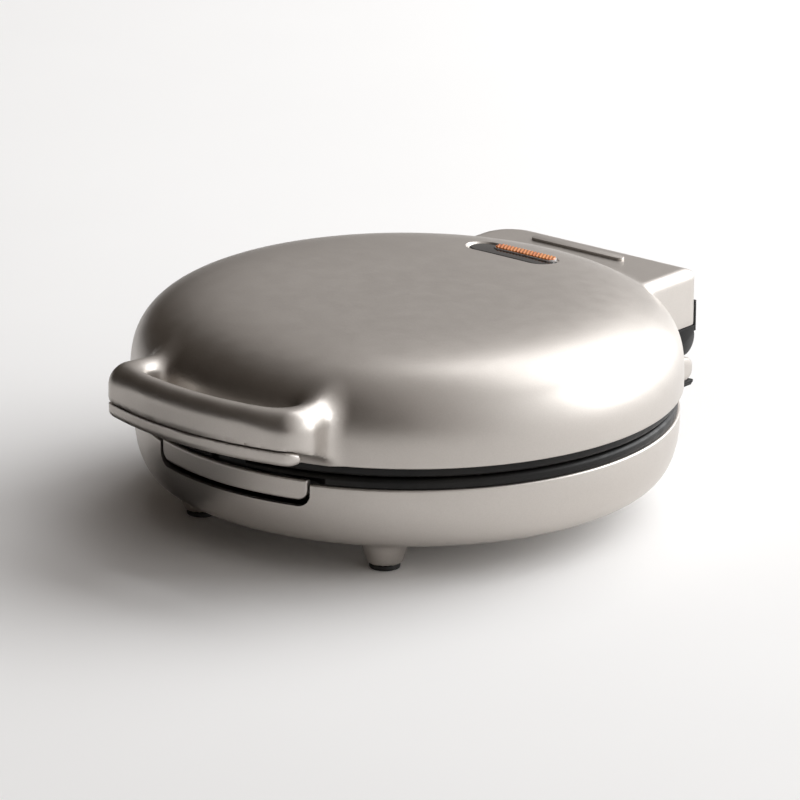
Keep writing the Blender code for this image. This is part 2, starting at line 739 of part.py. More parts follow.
def make_pad(name, x, y):
    pad = rod(name, (x, y, 0.0), (x, y, PAD_HEIGHT), PAD_RADIUS, sides=20)
    round_edges(pad, lambda p: p.z < 1e-6, 0.0005, 1)
    return join(pad, rod("plug", (x, y, 0.001), (x, y, 0.0052), 0.0030, sides=12))


def make_thermostat():
    top = PARTING - 0.0002 - PLATE_THICKNESS - GAP
    body = rod("thermostat", (0, 0, top - 0.0060), (0, 0, top), 0.0080, sides=20)
    for side in (-1, 1):
        x = side * 0.0040
        join(body, block("tab", (x - 0.0004, -0.0125, top - 0.0052), (x + 0.0004, -0.0070, top - 0.0020)))
    return body


def make_fuse():
    height = PARTING - 0.0002 - PLATE_THICKNESS - 0.0030
    points = [(x, -0.020, height) for x in (-0.014, 0.0, 0.014)]
    return wire("thermal_fuse", points, 0.0022)


def make_terminal_block():
    low = BASE_BOTTOM + WALL + 0.0014
    body = block("terminal_block", (-0.017, 0.0870, low), (0.017, 0.0940, low + 0.0085), 0.0008, 1)
    for k in range(3):
        x = (k - 1) * 0.010
        cut(body, rod("screw_hole", (x, 0.0905, low + 0.0050), (x, 0.0905, 0.0300), 0.0020, sides=10))
    return body


def make_gland():
    """Cord bush in the back of the base: a flange outside, a neck through the wall and a bore."""
    gland = rod("cord_gland", (0, REAR_BACK + GAP, 0.0340), (0, REAR_REACH, 0.0340), 0.0062, sides=20)
    join(gland, rod("neck", (0, 0.1190, 0.0340), (0, REAR_BACK + 0.0006, 0.0340), 0.0037, sides=16))
    return cut(gland, rod("bore", (0, 0.110, 0.0340), (0, 0.140, 0.0340), 0.0027, sides=12))


def make_hinge_pin(name, side):
    start, end = side * (HINGE_SEATS[0] + 0.0005), side * 0.0472
    return rod(name, (start, HINGE_Y, HINGE_Z), (end, HINGE_Y, HINGE_Z), PIN_RADIUS)


# ---------------------------------------------------------------- latch


def make_latch_lever():
    """The front panel with its hub behind it and the hooked tongue that reaches up into the lid."""
    outer, inner = BASE_RADIUS - 0.0003, BASE_RADIUS - 0.0024
    section = [(inner, LATCH_TOP), (outer, LATCH_TOP), (outer, LATCH_BOTTOM), (inner, LATCH_BOTTOM)]
    panel = turned("latch_lever", section, closed=True)
    keep_inside(panel, latch_window("panel", LATCH_HALF, LATCH_BOTTOM - 0.0002, 0.0045, -0.130, -0.090))
    hub = rod("hub", (-LATCH_HUB_HALF, LATCH_Y, LATCH_Z), (LATCH_HUB_HALF, LATCH_Y, LATCH_Z), 0.0026)
    web = block("web", (-LATCH_HUB_HALF, -0.1092, LATCH_Z - 0.0022), (LATCH_HUB_HALF, LATCH_Y, LATCH_Z + 0.0022))
    tongue = block("tongue", (-TONGUE_HALF, -0.1074, LATCH_Z - 0.0010), (TONGUE_HALF, -0.1056, 0.0544))
    hook = [(-0.1062, 0.0523), (-0.1083, 0.0523), (-0.1083, 0.0530), (-0.1077, 0.0543), (-0.1062, 0.0543)]
    nose = stood_up(slab("nose", [hook], -TONGUE_HALF + 1e-4, TONGUE_HALF - 1e-4), "YZ")
    join(panel, join(hub, web), tongue, nose)
    return cut(panel, rod("bore", (-0.013, LATCH_Y, LATCH_Z), (0.013, LATCH_Y, LATCH_Z), 0.0015, sides=12))


def make_latch_pin():
    half = LATCH_HUB_HALF + 0.0030
    return rod("latch_pin", (-half, LATCH_Y, LATCH_Z), (half, LATCH_Y, LATCH_Z), LATCH_PIN_RADIUS, sides=12)


# ---------------------------------------------------------------- assembly


def materials():
    made = {}
    for name, (colour, roughness, metallic) in COLOURS.items():
        material = bpy.data.materials.new(name)
        material.use_nodes = True
        shader = material.node_tree.nodes["Principled BSDF"]
        shader.inputs["Base Color"].default_value = (*colour, 1)
        shader.inputs["Roughness"].default_value = roughness
        shader.inputs["Metallic"].default_value = metallic
        made[name] = material
    return made


def pivot(name, place, parent=None):
    empty = bpy.data.objects.new(name, None)
    bpy.context.scene.collection.objects.link(empty)
    empty.location = place
    empty.parent = parent
    return empty


def attach(parts, parent, offset, finishes, collection):
    """Gives each part its material and hangs it from its pivot without moving it."""
    for obj, finish in parts:
        obj.data.materials.clear()
        obj.data.materials.append(finishes[finish])
        obj.data.shade_smooth()
        obj.data.set_sharp_from_angle(angle=math.radians(32))
        obj.data.transform(Matrix.Translation(-offset))
        obj.parent = parent
        for holder in list(obj.users_collection):
            holder.objects.unlink(obj)
        collection.objects.link(obj)


def build():
    clear_scene()
    finishes = materials()
    collection = bpy.data.collections.new("donut_maker")
    bpy.context.scene.collection.children.link(collection)

    pads = [(make_pad(f"foot_pad_{name}", x, y), "rubber") for name, (x, y) in feet_places().items()]
    base_parts = [
        (make_base_shell(), "champagne"),
        (make_base_rear_cover(), "black"),
        (make_lower_frame(), "black"),
        (make_plate("lower_baking_plate", -1), "coating"),
        (make_element("lower_heating_element", -1), "steel"),
        (make_reflector("lower_heat_reflector", -1), "aluminium"),
        (make_thermostat(), "ceramic"),
        (make_fuse(), "ceramic"),
        (make_terminal_block(), "ceramic"),
        (make_gland(), "rubber"),
        (make_hinge_pin("hinge_pin_left", -1), "steel"),
        (make_hinge_pin("hinge_pin_right", 1), "steel"),
        (make_latch_pin(), "steel"),
        *pads,
        *[(s, "steel") for s in make_frame_screws("lower_frame_screw", -1)],
        *[(s, "steel") for s in make_plate_screws("lower_plate_screw", -1)],
    ]
    bezel, lens, lamp, holder = make_indicator()
    y = HANDLE_SCREW_Y
    handle_screws = []
    for side, word in ((-1, "left"), (1, "right")):
        x = side * HANDLE_SCREW_X
        screw = make_screw(f"handle_screw_{word}", (x, y, HANDLE_FOOT + 0.0005), (x, y, HANDLE_TOP - 0.0060))
        handle_screws.append((screw, "steel"))
    lid_parts = [
        (make_lid_shell(), "champagne"),
        (make_handle_cover(), "champagne"),
        (make_hinge_rear_cover(), "black"),
        (make_upper_frame(), "black"),
        (make_plate("upper_baking_plate", 1), "coating"),
        (make_element("upper_heating_element", 1), "steel"),
        (make_reflector("upper_heat_reflector", 1), "aluminium"),
        (bezel, "black"),
        (lens, "amber"),
        (lamp, "glass"),
        (holder, "board"),
        *handle_screws,
        *[(s, "steel") for s in make_frame_screws("upper_frame_screw", 1)],
        *[(s, "steel") for s in make_plate_screws("upper_plate_screw", 1)],
    ]
    latch_parts = [(make_latch_lever(), "champagne")]

    root = pivot("body_axis", (0, AXIS_Y, 0))
    hinge_at, latch_at = Vector((0, HINGE_Y, HINGE_Z)), Vector((0, LATCH_Y, LATCH_Z))
    attach(base_parts, root, Vector((0, 0, 0)), finishes, collection)
    attach(lid_parts, pivot("lid_hinge", hinge_at, root), hinge_at, finishes, collection)
    attach(latch_parts, pivot("latch_pivot", latch_at, root), latch_at, finishes, collection)


build()
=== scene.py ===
"""Round donut maker: the visible model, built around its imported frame, with studio and camera.

Metres, +Z up, handle towards -Y. Shapes are measured from the axis of the round body; place() moves each
finished mesh from there into the frame. Smooth moulded shells are meshed from distance fields, turned
parts from their half sections.
"""

import json
import math

import bmesh
import bpy
import numpy as np
from mathutils import Matrix, Vector

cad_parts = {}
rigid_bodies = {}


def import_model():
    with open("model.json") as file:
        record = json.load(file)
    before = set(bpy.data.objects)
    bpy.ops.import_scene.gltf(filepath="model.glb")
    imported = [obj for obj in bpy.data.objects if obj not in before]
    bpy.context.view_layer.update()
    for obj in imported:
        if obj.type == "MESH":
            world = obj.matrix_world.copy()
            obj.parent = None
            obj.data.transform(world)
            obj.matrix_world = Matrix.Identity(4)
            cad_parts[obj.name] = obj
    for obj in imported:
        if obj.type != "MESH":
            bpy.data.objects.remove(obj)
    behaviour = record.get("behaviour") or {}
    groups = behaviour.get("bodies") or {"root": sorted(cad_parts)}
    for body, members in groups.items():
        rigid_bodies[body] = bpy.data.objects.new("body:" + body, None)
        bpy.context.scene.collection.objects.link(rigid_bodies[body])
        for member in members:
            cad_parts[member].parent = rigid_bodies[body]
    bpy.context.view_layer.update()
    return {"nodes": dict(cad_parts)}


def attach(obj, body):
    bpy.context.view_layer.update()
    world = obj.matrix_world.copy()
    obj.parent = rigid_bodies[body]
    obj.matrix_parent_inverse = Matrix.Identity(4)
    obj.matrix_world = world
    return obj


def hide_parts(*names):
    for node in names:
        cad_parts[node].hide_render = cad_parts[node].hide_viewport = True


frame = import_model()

# The round body's axis stands this far behind the frame's origin.
AXIS_Y = 0.003

# Lid dome: rim, top, radius, end of the upright wall, powers of its superellipse.
LID_RIM = 0.0495
LID_TOP = 0.0889
LID_RADIUS = 0.1125
LID_WALL_TOP = 0.0545
LID_POWERS = (6.07, 2.56)

# Base bowl, the same upside down.
BASE_RIM = 0.0404
BASE_BOTTOM = 0.0121
BASE_RADIUS = 0.1112
BASE_WALL_FOOT = 0.0366
BASE_POWERS = (22.3, 1.84)

# Where lid and base meet, how thick the shells are, and how finely they are meshed.
PARTING = 0.0450
WALL = 0.0022
LIP = 0.0007
SHELL_STEP = 0.0014

# Handle: half its width, reach from the axis, depth of its bar, width of its arms, radius of its front.
HANDLE_HALF = 0.0545
HANDLE_REACH = 0.134
HANDLE_BAR = 0.0095
HANDLE_ARM = 0.018
HANDLE_ARC = 0.150
HANDLE_CORNERS = (0.011, 0.009)
HANDLE_TOP = 0.0755
HANDLE_SEAM = 0.0608
HANDLE_FOOT = 0.0546
COVER_HALF = 0.0500
COVER_BACK = -0.1195
COVER_GAP = 0.0003
COVER_SCREW = (0.043, -0.121)

# Hinge box on the lid, and the lower box behind the base.
BOX_HALF = 0.0512
BOX_REAR = 0.1266
BOX_TOP = 0.0781
BOX_FOOT = 0.0533
REAR_HALF = 0.0505
REAR_END = 0.1270
REAR_DROP = 0.0008
REAR_FOOT = 0.0295
GLAND_Z = 0.0340

HINGE_Y, HINGE_Z = 0.1195, 0.0487
KNUCKLE_RADIUS = 0.0043
HINGE_BORE = 0.0019
HINGE_PIN = 0.0016

# Latch pivot, its panel, and the turn the handle and panel have from the front.
LATCH_Y, LATCH_Z = -0.1048, 0.0373
LATCH_HALF = 0.012
PANEL_HALF = 0.0385
PANEL_HEIGHTS = (0.0334, 0.0418)
PANEL_SKIN = (0.1088, 0.1109)
FRONT_TURN = math.radians(-1.2)

# Feet: places from the axis, leg radius at its tip and root, height of the tip.
FOOT_X, FOOT_Y = 0.0484, 0.0715
LEG_RADII = (0.0071, 0.0101)
LEG_TIP = 0.0023

# Plate frames, plates and the ring moulds in them.
FRAME_BORE = 0.1001
BRIDGE_HALF = 0.0485
BRIDGE_END = 0.1130
PLATE_RADIUS = 0.0997
PLATE_THICKNESS = 0.0122
PLATE_BACK = 0.0002
DONUT_PITCH = 0.0635
DONUT_MEAN = 0.0195
DONUT_SIDE = 0.0100

# Screws: the circle and the angles of the frame's four, and the shape all of them share.
FRAME_SCREW_CIRCLE = 0.1042
FRAME_SCREWS = (35, 145, 215, 325)
SCREW_HEAD = 0.0030
SCREW_SHANK = 0.0013
SCREW_PITCH = 0.0007

# Indicator window: its middle, half sizes of the hollow and of its flared mouth, and the lens in it.
WINDOW_Y = 0.0680
WINDOW_HALVES = (0.0216, 0.0068)
MOUTH_HALVES = (0.0232, 0.0084)
LENS = (0.0040, 0.0713)
LENS_TOP = 0.0886
RIB_PITCH = 0.0017


# ---------------------------------------------------------------- mesh tools


def new_object(name, mesh):
    obj = bpy.data.objects.new(name, mesh)
    bpy.context.scene.collection.objects.link(obj)
    return obj


def from_bmesh(name, bm):
    mesh = bpy.data.meshes.new(name)
    bm.to_mesh(mesh)
    bm.free()
    return new_object(name, mesh)


def baked(obj):
    """Applies an object's modifiers and gives the object back."""
    graph = bpy.context.evaluated_depsgraph_get()
    mesh = bpy.data.meshes.new_from_object(obj.evaluated_get(graph))
    obj.modifiers.clear()
    obj.data = mesh
    return obj


def combine(target, operation, *others):
    """Boolean of the target with each of the others, which are used up."""
    for other in others:
        step = target.modifiers.new(operation, "BOOLEAN")
        step.operation = operation
        step.solver = "EXACT"
        step.object = other
        baked(target)
        bpy.data.objects.remove(other)
    return target


def join(target, *others):
    return combine(target, "UNION", *others)


def cut(target, *others):
    return combine(target, "DIFFERENCE", *others)


def soften(obj, width, segments=2, chosen=None):
    """Rounds the sharp edges of a baked mesh, or only those whose ends satisfy chosen."""
    bm = bmesh.new()
    bm.from_mesh(obj.data)
    sharp = math.radians(40)
    edges = [e for e in bm.edges if len(e.link_faces) == 2 and e.calc_face_angle() > sharp]
    if chosen:
        edges = [e for e in edges if all(chosen(v.co) for v in e.verts)]
    bmesh.ops.bevel(
        bm, geom=edges, offset=width, segments=segments, profile=0.5, affect="EDGES", clamp_overlap=True
    )
    bmesh.ops.remove_doubles(bm, verts=bm.verts, dist=1e-6)
    bm.to_mesh(obj.data)
    bm.free()
    return obj


def lathe(name, section, segments=160, closed=True):
    """Turns a half section of (radius, height) points about Z."""
    bm = bmesh.new()
    rings = []
    for r, z in section:
        if r < 1e-7:
            rings.append([bm.verts.new((0, 0, z))])
            continue
        turns = [2 * math.pi * k / segments for k in range(segments)]
        rings.append([bm.verts.new((r * math.cos(a), r * math.sin(a), z)) for a in turns])
    pairs = list(zip(rings, rings[1:] + rings[:1] if closed else rings[1:]))
    for first, second in pairs:
        if len(first) == len(second) == 1:
            continue
        for k in range(segments):
            n = (k + 1) % segments
            corners = [first[k % len(first)], first[n % len(first)]]
            corners += [second[n % len(second)], second[k % len(second)]]
            unique = list(dict.fromkeys(corners))
            if len(unique) > 2:
                bm.faces.new(unique)
    bmesh.ops.recalc_face_normals(bm, faces=bm.faces)
    return from_bmesh(name, bm)


def extrude(name, loops, low, high, plane="XY"):
    """A flat outline with holes, pushed from low to high along the plane's normal."""
    curve = bpy.data.curves.new(name, "CURVE")
    curve.dimensions = "2D"
    curve.fill_mode = "BOTH"
    curve.extrude = (high - low) / 2
    for loop in loops:
        spline = curve.splines.new("POLY")
        spline.points.add(len(loop) - 1)
        spline.use_cyclic_u = True
        for point, (x, y) in zip(spline.points, loop):
            point.co = (x, y, 0, 1)
    holder = new_object(name, curve)
    graph = bpy.context.evaluated_depsgraph_get()
    mesh = bpy.data.meshes.new_from_object(holder.evaluated_get(graph))
    bpy.data.objects.remove(holder)
    bm = bmesh.new()
    bm.from_mesh(mesh)
    bmesh.ops.remove_doubles(bm, verts=bm.verts, dist=1e-6)
    bm.transform(Matrix.Translation((0, 0, (low + high) / 2)))
    turns = {
        "XY": Matrix.Identity(4),
        "YZ": Matrix(((0, 0, 1, 0), (1, 0, 0, 0), (0, 1, 0, 0), (0, 0, 0, 1))),
        "XZ": Matrix(((1, 0, 0, 0), (0, 0, 1, 0), (0, 1, 0, 0), (0, 0, 0, 1))),
    }
    bm.transform(turns[plane])
    bmesh.ops.recalc_face_normals(bm, faces=bm.faces)
    return from_bmesh(name, bm)


def bar(name, start, end, radius, sides=32):
    """A round bar between two points."""
    start, end = Vector(start), Vector(end)
    bm = bmesh.new()
    depth = (end - start).length
    bmesh.ops.create_cone(bm, cap_ends=True, segments=sides, radius1=radius, radius2=radius, depth=depth)
    turn = (end - start).to_track_quat("Z", "Y").to_matrix().to_4x4()
    bm.transform(Matrix.Translation((start + end) / 2) @ turn)
    return from_bmesh(name, bm)


def brick(name, low, high):
    """A box between two opposite corners."""
    low, high = Vector(low), Vector(high)
    bm = bmesh.new()
    bmesh.ops.create_cube(bm, size=1)
    bm.transform(Matrix.Translation((low + high) / 2) @ Matrix.Diagonal((*(high - low), 1)))
    return from_bmesh(name, bm)


def arc(centre, radius, start, end, steps):
    """Points along a circular arc, both ends included."""
    turns = [start + (end - start) * i / steps for i in range(steps + 1)]
    return [(centre[0] + radius * math.cos(a), centre[1] + radius * math.sin(a)) for a in turns]


def oblong(half_length, half_width, centre, steps=16):
    """Outline of a slot with round ends."""
    x, y = centre
    reach = half_length - half_width
    right = arc((x + reach, y), half_width, -math.pi / 2, math.pi / 2, steps)
    left = arc((x - reach, y), half_width, math.pi / 2, 3 * math.pi / 2, steps)
    return right + left


def eased(corners, steps=5):
    """A closed outline from (x, y, ease) corners, each bent round from that far before it to as far after."""
    outline = []
    for i, (x, y, ease) in enumerate(corners):
        corner = Vector((x, y))
        if ease == 0:
            outline.append((x, y))
            continue
        before, after = corners[i - 1], corners[(i + 1) % len(corners)]
        start = corner + (Vector(before[:2]) - corner).normalized() * ease
        end = corner + (Vector(after[:2]) - corner).normalized() * ease
        for k in range(steps + 1):
            t = k / steps
            outline.append(tuple(start * (1 - t) ** 2 + corner * 2 * t * (1 - t) + end * t**2))
    return outline


def turned_front(obj):
    """Turns a part of the front to where the handle and latch stand."""
    obj.data.transform(Matrix.Rotation(FRONT_TURN, 4, "Z"))
    return obj


def around(radius, degrees, height=0.0):
    """The point at a radius and an angle about the axis."""
    a = math.radians(degrees)
    return Vector((radius * math.cos(a), radius * math.sin(a), height))


# ---------------------------------------------------------------- distance fields


def smooth_min(a, b, reach):
    """Union of two fields with a blend between them."""
    h = np.clip(0.5 + 0.5 * (b - a) / reach, 0, 1)
    return b * (1 - h) + a * h - reach * h * (1 - h)


def rounded_cross(a, b, radius):
    """Where both fields are inside, with the edge between them rounded."""
    qa, qb = a + radius, b + radius
    return np.hypot(np.maximum(qa, 0), np.maximum(qb, 0)) + np.minimum(np.maximum(qa, qb), 0) - radius


def bowl(radius_at, height, radius, rise, powers):
    """Superellipse of revolution above height zero, upright wall below it."""
    n, m = powers
    u = np.maximum(radius_at / radius, 1e-6)
    w = np.maximum(height / rise, 0)
    value = u**n + w**m - 1
    slope_r = n * u ** (n - 1) / radius
    slope_z = m * w ** (m - 1) / rise
    least_slope = 8.0
    return value / np.maximum(np.hypot(slope_r, slope_z), least_slope)


def surface(name, field, low, high, step):
    """Meshes the zero level of a field with one point per crossed cell, drawn onto the surface."""
    low, high = np.array(low, float), np.array(high, float)
    counts = np.ceil((high - low) / step).astype(int) + 1
    axes = [low[i] + step * np.arange(counts[i]) for i in range(3)]
    grid = np.stack(np.meshgrid(*axes, indexing="ij"), axis=-1)
    inside = field(grid.reshape(-1, 3)).reshape(counts) < 0
    cells = counts - 1
    total = np.zeros(cells, int)
    for i, j, k in np.ndindex(2, 2, 2):
        total += inside[i : i + cells[0], j : j + cells[1], k : k + cells[2]]
    mixed = (total > 0) & (total < 8)
    index = np.full(cells, -1)
    index[mixed] = np.arange(mixed.sum())
    centres = low + step * (np.argwhere(mixed) + 0.5)
    points = centres.copy()
    small = step * 0.02
    for _ in range(6):
        value = field(points)
        shifts = [(field(points + e) - field(points - e)) / (2 * small) for e in np.eye(3) * small]
        slope = np.stack(shifts, axis=1)
        move = slope * (value / np.maximum((slope**2).sum(axis=1), 0.05))[:, None]
        points = np.clip(points - move, centres - 0.9 * step, centres + 0.9 * step)
    quads = []
    for axis in range(3):
        order = [axis, (axis + 1) % 3, (axis + 2) % 3]
        solid, cell = inside.transpose(order), index.transpose(order)
        first, second = solid[:-1, 1:-1, 1:-1], solid[1:, 1:-1, 1:-1]
        for outward, crossing in ((True, first & ~second), (False, ~first & second)):
            i, j, k = np.argwhere(crossing).T
            quad = [cell[i, j, k], cell[i, j + 1, k], cell[i, j + 1, k + 1], cell[i, j, k + 1]]
            quads.append(np.stack(quad if outward else quad[::-1], axis=1))
    mesh = bpy.data.meshes.new(name)
    mesh.from_pydata(points.tolist(), [], np.concatenate(quads).tolist())
    return new_object(name, mesh)


def rim_of(bm, height):
    """The open edges that lie at a height."""
    edges = [e for e in bm.edges if len(e.link_faces) == 1]
    return [e for e in edges if all(abs(v.co.z - height) < 1e-5 for v in e.verts)]


def sliced(obj, height, upward):
    """Keeps what lies above a height, or below it, and gives the rim evenly spaced points."""
    bm = bmesh.new()
    bm.from_mesh(obj.data)
    geometry = list(bm.verts) + list(bm.edges) + list(bm.faces)
    normal = (0, 0, -1) if upward else (0, 0, 1)
    bmesh.ops.bisect_plane(
        bm, geom=geometry, dist=1e-5, plane_co=(0, 0, height), plane_no=normal, clear_outer=True
    )
    points = {v for e in rim_of(bm, height) for v in e.verts}
    bmesh.ops.remove_doubles(bm, verts=list(points), dist=0.0003)
    return bm


def add_lip(bm, height, direction, radius, steps=4):
    """Carries a skin's rim round a quarter circle towards its inside."""
    bm.normal_update()
    rim = rim_of(bm, height)
    lean = {v: Vector((v.normal.x, v.normal.y, 0)).normalized() for e in rim for v in e.verts}
    start = {v: v.co.copy() for v in lean}
    last = {v: v for v in lean}
    for k in range(1, steps + 1):
        a = math.pi / 2 * k / steps
        inward, along = radius * (1 - math.cos(a)), radius * math.sin(a) * direction
        ring = {v: bm.verts.new(start[v] - lean[v] * inward + Vector((0, 0, along))) for v in lean}
        for e in rim:
            one, other = e.verts
            bm.faces.new((last[one], last[other], ring[other], ring[one]))
        last = ring


def moulding(name, outer, inner, low, high, rim, upward):
    """A thin shell between two skins, open at a flat rim whose outer edge is rounded."""
    direction = -1 if upward else 1
    outside = sliced(surface("skin", outer, low, high, SHELL_STEP), rim - direction * LIP, upward)
    add_lip(outside, rim - direction * LIP, direction, LIP)
    inside = sliced(surface("skin", inner, low, high, SHELL_STEP), rim, upward)
    bmesh.ops.reverse_faces(inside, faces=inside.faces)
    bm = bmesh.new()
    for skin in (outside, inside):
        mesh = bpy.data.meshes.new("half")
        skin.to_mesh(mesh)
        skin.free()
        bm.from_mesh(mesh)
    bmesh.ops.triangle_fill(bm, edges=rim_of(bm, rim), use_beauty=True, normal=(0, 0, direction))
    bmesh.ops.recalc_face_normals(bm, faces=bm.faces)
    for spare in [o for o in bpy.data.objects if o.name.startswith("skin")]:
        bpy.data.objects.remove(spare)
    return from_bmesh(name, bm)


# ---------------------------------------------------------------- fields of the moulded shells


def loop_outline(x, y, half, reach, corner):
    """Plan of the handle's outer or inner side: a wide arc crossed with a straight-sided strip."""
    curved = np.hypot(x, y - (HANDLE_ARC - reach)) - HANDLE_ARC
    return rounded_cross(curved, np.abs(x) - half, corner)


def from_front(p):
    """The same points as seen from the handle's own middle line."""
    c, s = math.cos(FRONT_TURN), math.sin(FRONT_TURN)
    return p[:, 0] * c + p[:, 1] * s, p[:, 1] * c - p[:, 0] * s, p[:, 2]


def handle_field(p):
    """Handle top with its two arms: narrower towards the lid, with fuller roundings along the arms."""
    x, y, z = from_front(p)
    taper = 0.22 * np.clip(y + 0.1260, 0, 0.030)
    outer = loop_outline(x, y, HANDLE_HALF - taper, HANDLE_REACH, HANDLE_CORNERS[0])
    inner = loop_outline(x, y, HANDLE_HALF - HANDLE_ARM, HANDLE_REACH - HANDLE_BAR, HANDLE_CORNERS[1])
    arm = np.clip((np.abs(x) - 0.030) / 0.012, 0, 1)
    ring = rounded_cross(outer, z - HANDLE_TOP, 0.0065 + 0.0020 * arm)
    ring = rounded_cross(ring, -inner, 0.0022 + 0.0056 * arm)
    fall = np.clip((y + 0.1235) / 0.0250, 0, 1)
    underside = HANDLE_SEAM + (LID_RIM + 0.0014 - HANDLE_SEAM) * fall
    ring = rounded_cross(ring, underside - z, 0.0012)
    return np.maximum(ring, y + 0.090)


def lid_bowl(p, inset=0.0):
    """Dome and hinge box together, drawn in by an inset."""
    x, y, z = p.T
    rise = LID_TOP - LID_WALL_TOP - inset
    dome = bowl(np.hypot(x, y), z - LID_WALL_TOP, LID_RADIUS - inset, rise, LID_POWERS)
    left_corner, right_corner = 0.0160, 0.0022
    corner = np.where(x < 0, left_corner, right_corner)
    box = rounded_cross(np.abs(x) - BOX_HALF + inset, y - BOX_REAR + inset, corner - inset)
    box = rounded_cross(box, z - BOX_TOP + inset, 0.0042 - inset)
    box = rounded_cross(box, BOX_FOOT + inset - z, 0.0010)
    return smooth_min(dome, np.maximum(box, 0.06 - y), 0.0016)


def lid_field(p):
    return smooth_min(lid_bowl(p), handle_field(p), 0.0068)


def lid_inside(p):
    return lid_bowl(p, WALL)


def cover_field(p):
    """Lower half of the handle, a gap inside the window it closes."""
    x, y, z = from_front(p)
    outer = loop_outline(x, y, HANDLE_HALF, HANDLE_REACH, HANDLE_CORNERS[0])
    inner = loop_outline(x, y, HANDLE_HALF - HANDLE_ARM, HANDLE_REACH - HANDLE_BAR, HANDLE_CORNERS[1])
    ring = rounded_cross(outer, -inner, 0.001)
    ring = rounded_cross(ring, np.abs(x) - COVER_HALF + COVER_GAP, 0.0030)
    ring = rounded_cross(ring, HANDLE_FOOT - z, 0.0026)
    window = rounded_cross(np.abs(x) - COVER_HALF + COVER_GAP, z - HANDLE_SEAM + COVER_GAP, 0.0036)
    ring = rounded_cross(ring, window, 0.0004)
    return rounded_cross(ring, y - COVER_BACK + COVER_GAP, 0.0006)


def foot_centres():
    return [(sx * FOOT_X, sy * FOOT_Y) for sx in (-1, 1) for sy in (-1, 1)]


def base_bowl(p, inset=0.0):
    """Bowl and the low box behind it together, drawn in by an inset."""
    x, y, z = p.T
    drop = BASE_WALL_FOOT - BASE_BOTTOM - inset
    body = bowl(np.hypot(x, y), BASE_WALL_FOOT - z, BASE_RADIUS - inset, drop, BASE_POWERS)
    corner = 0.0045 - inset
    rear = rounded_cross(y - REAR_END + inset, z - BASE_RIM + REAR_DROP + inset, corner)
    rear = rounded_cross(rear, REAR_FOOT + inset - z, corner)
    rear = rounded_cross(rear, np.abs(x) - REAR_HALF + inset, 0.0014 - inset / 2)
    return smooth_min(body, np.maximum(rear, 0.07 - y), 0.002)


def base_field(p):
    """Base with its four tapered legs."""
    x, y, z = p.T
    body = base_bowl(p)
    tip, root = LEG_RADII
    for fx, fy in foot_centres():
        radius = tip + (root - tip) * np.clip((z - LEG_TIP) / 0.0098, -1, 1.5)
        leg = np.hypot(x - fx, y - fy) - radius
        leg = rounded_cross(leg * 0.96, LEG_TIP - z, 0.0009)
        leg = np.maximum(leg, z - 0.020)
        body = smooth_min(body, leg, 0.0028)
    return body


def base_inside(p):
    return base_bowl(p, WALL)


def panel_field(p):
    """Latch panel: a piece of cylinder wall with round lower corners."""
    r = np.hypot(p[:, 0], p[:, 1])
    x, y, z = from_front(p)
    window = rounded_cross(np.abs(x) - PANEL_HALF, PANEL_HEIGHTS[0] - z, 0.0042)
    window = rounded_cross(window, z - PANEL_HEIGHTS[1], 0.0006)
    sheet = rounded_cross(window, r - PANEL_SKIN[1], 0.0006)
    return np.maximum(np.maximum(sheet, PANEL_SKIN[0] - r), y)


def mould_centres():
    return [(0.0, 0.0)] + [tuple(around(DONUT_PITCH, 60 * k + 30)[:2]) for k in range(6)]


def plate_field(side):
    """A cast plate, its depth measured from its face: rounded rim, and ring moulds with soft lips."""
    face = PARTING + side * PLATE_BACK

    def field(p):
        x, y, z = p.T
        depth = (z - face) * side
        r = np.hypot(x, y)
        body = rounded_cross(r - PLATE_RADIUS, -depth, 0.0010)
        body = rounded_cross(body, depth - PLATE_THICKNESS, 0.0008)
        for cx, cy in mould_centres():
            across = np.hypot(x - cx, y - cy) - DONUT_MEAN
            ring = np.hypot(across, (depth + 0.0003) * 1.075) - DONUT_SIDE
            body = -smooth_min(-body, ring, 0.0012)
        return body

    return field


def pill(p, half_length, half_width, centre):
    """Field of an upright slot shape with round ends."""
    x, y = p[:, 0] - centre[0], p[:, 1] - centre[1]
    return np.hypot(np.maximum(np.abs(x) - half_length + half_width, 0), y) - half_width


def lens_field(p):
    """Crowned amber lens with slanting ribs across its top."""
    z = p[:, 2]
    ribs = 0.00014 * np.cos((p[:, 0] + 0.5 * p[:, 1]) * 2 * math.pi / RIB_PITCH)
    top = LENS_TOP - 9.0 * (p[:, 1] - LENS[1]) ** 2 + ribs
    crowned = rounded_cross(pill(p, 0.0153, 0.0027, LENS), z - top, 0.0005)
    return rounded_cross(crowned, 0.0870 - z, 0.0002)


def bezel_field(p):
    """Glossy black floor that follows the dome, on a hidden flange, with a slot for the lens."""
    z = p[:, 2]
    floor = rounded_cross(pill(p, 0.0213, 0.0065, (0, WINDOW_Y)), lid_bowl(p, 0.0005), 0.0004)
    floor = np.maximum(floor, 0.0834 - z)
    flange = rounded_cross(pill(p, 0.0234, 0.0086, (0, WINDOW_Y)), np.abs(z - 0.0839) - 0.0005, 0.0002)
    return np.maximum(np.minimum(floor, flange), -pill(p, 0.0159, 0.0033, LENS))


# ---------------------------------------------------------------- materials


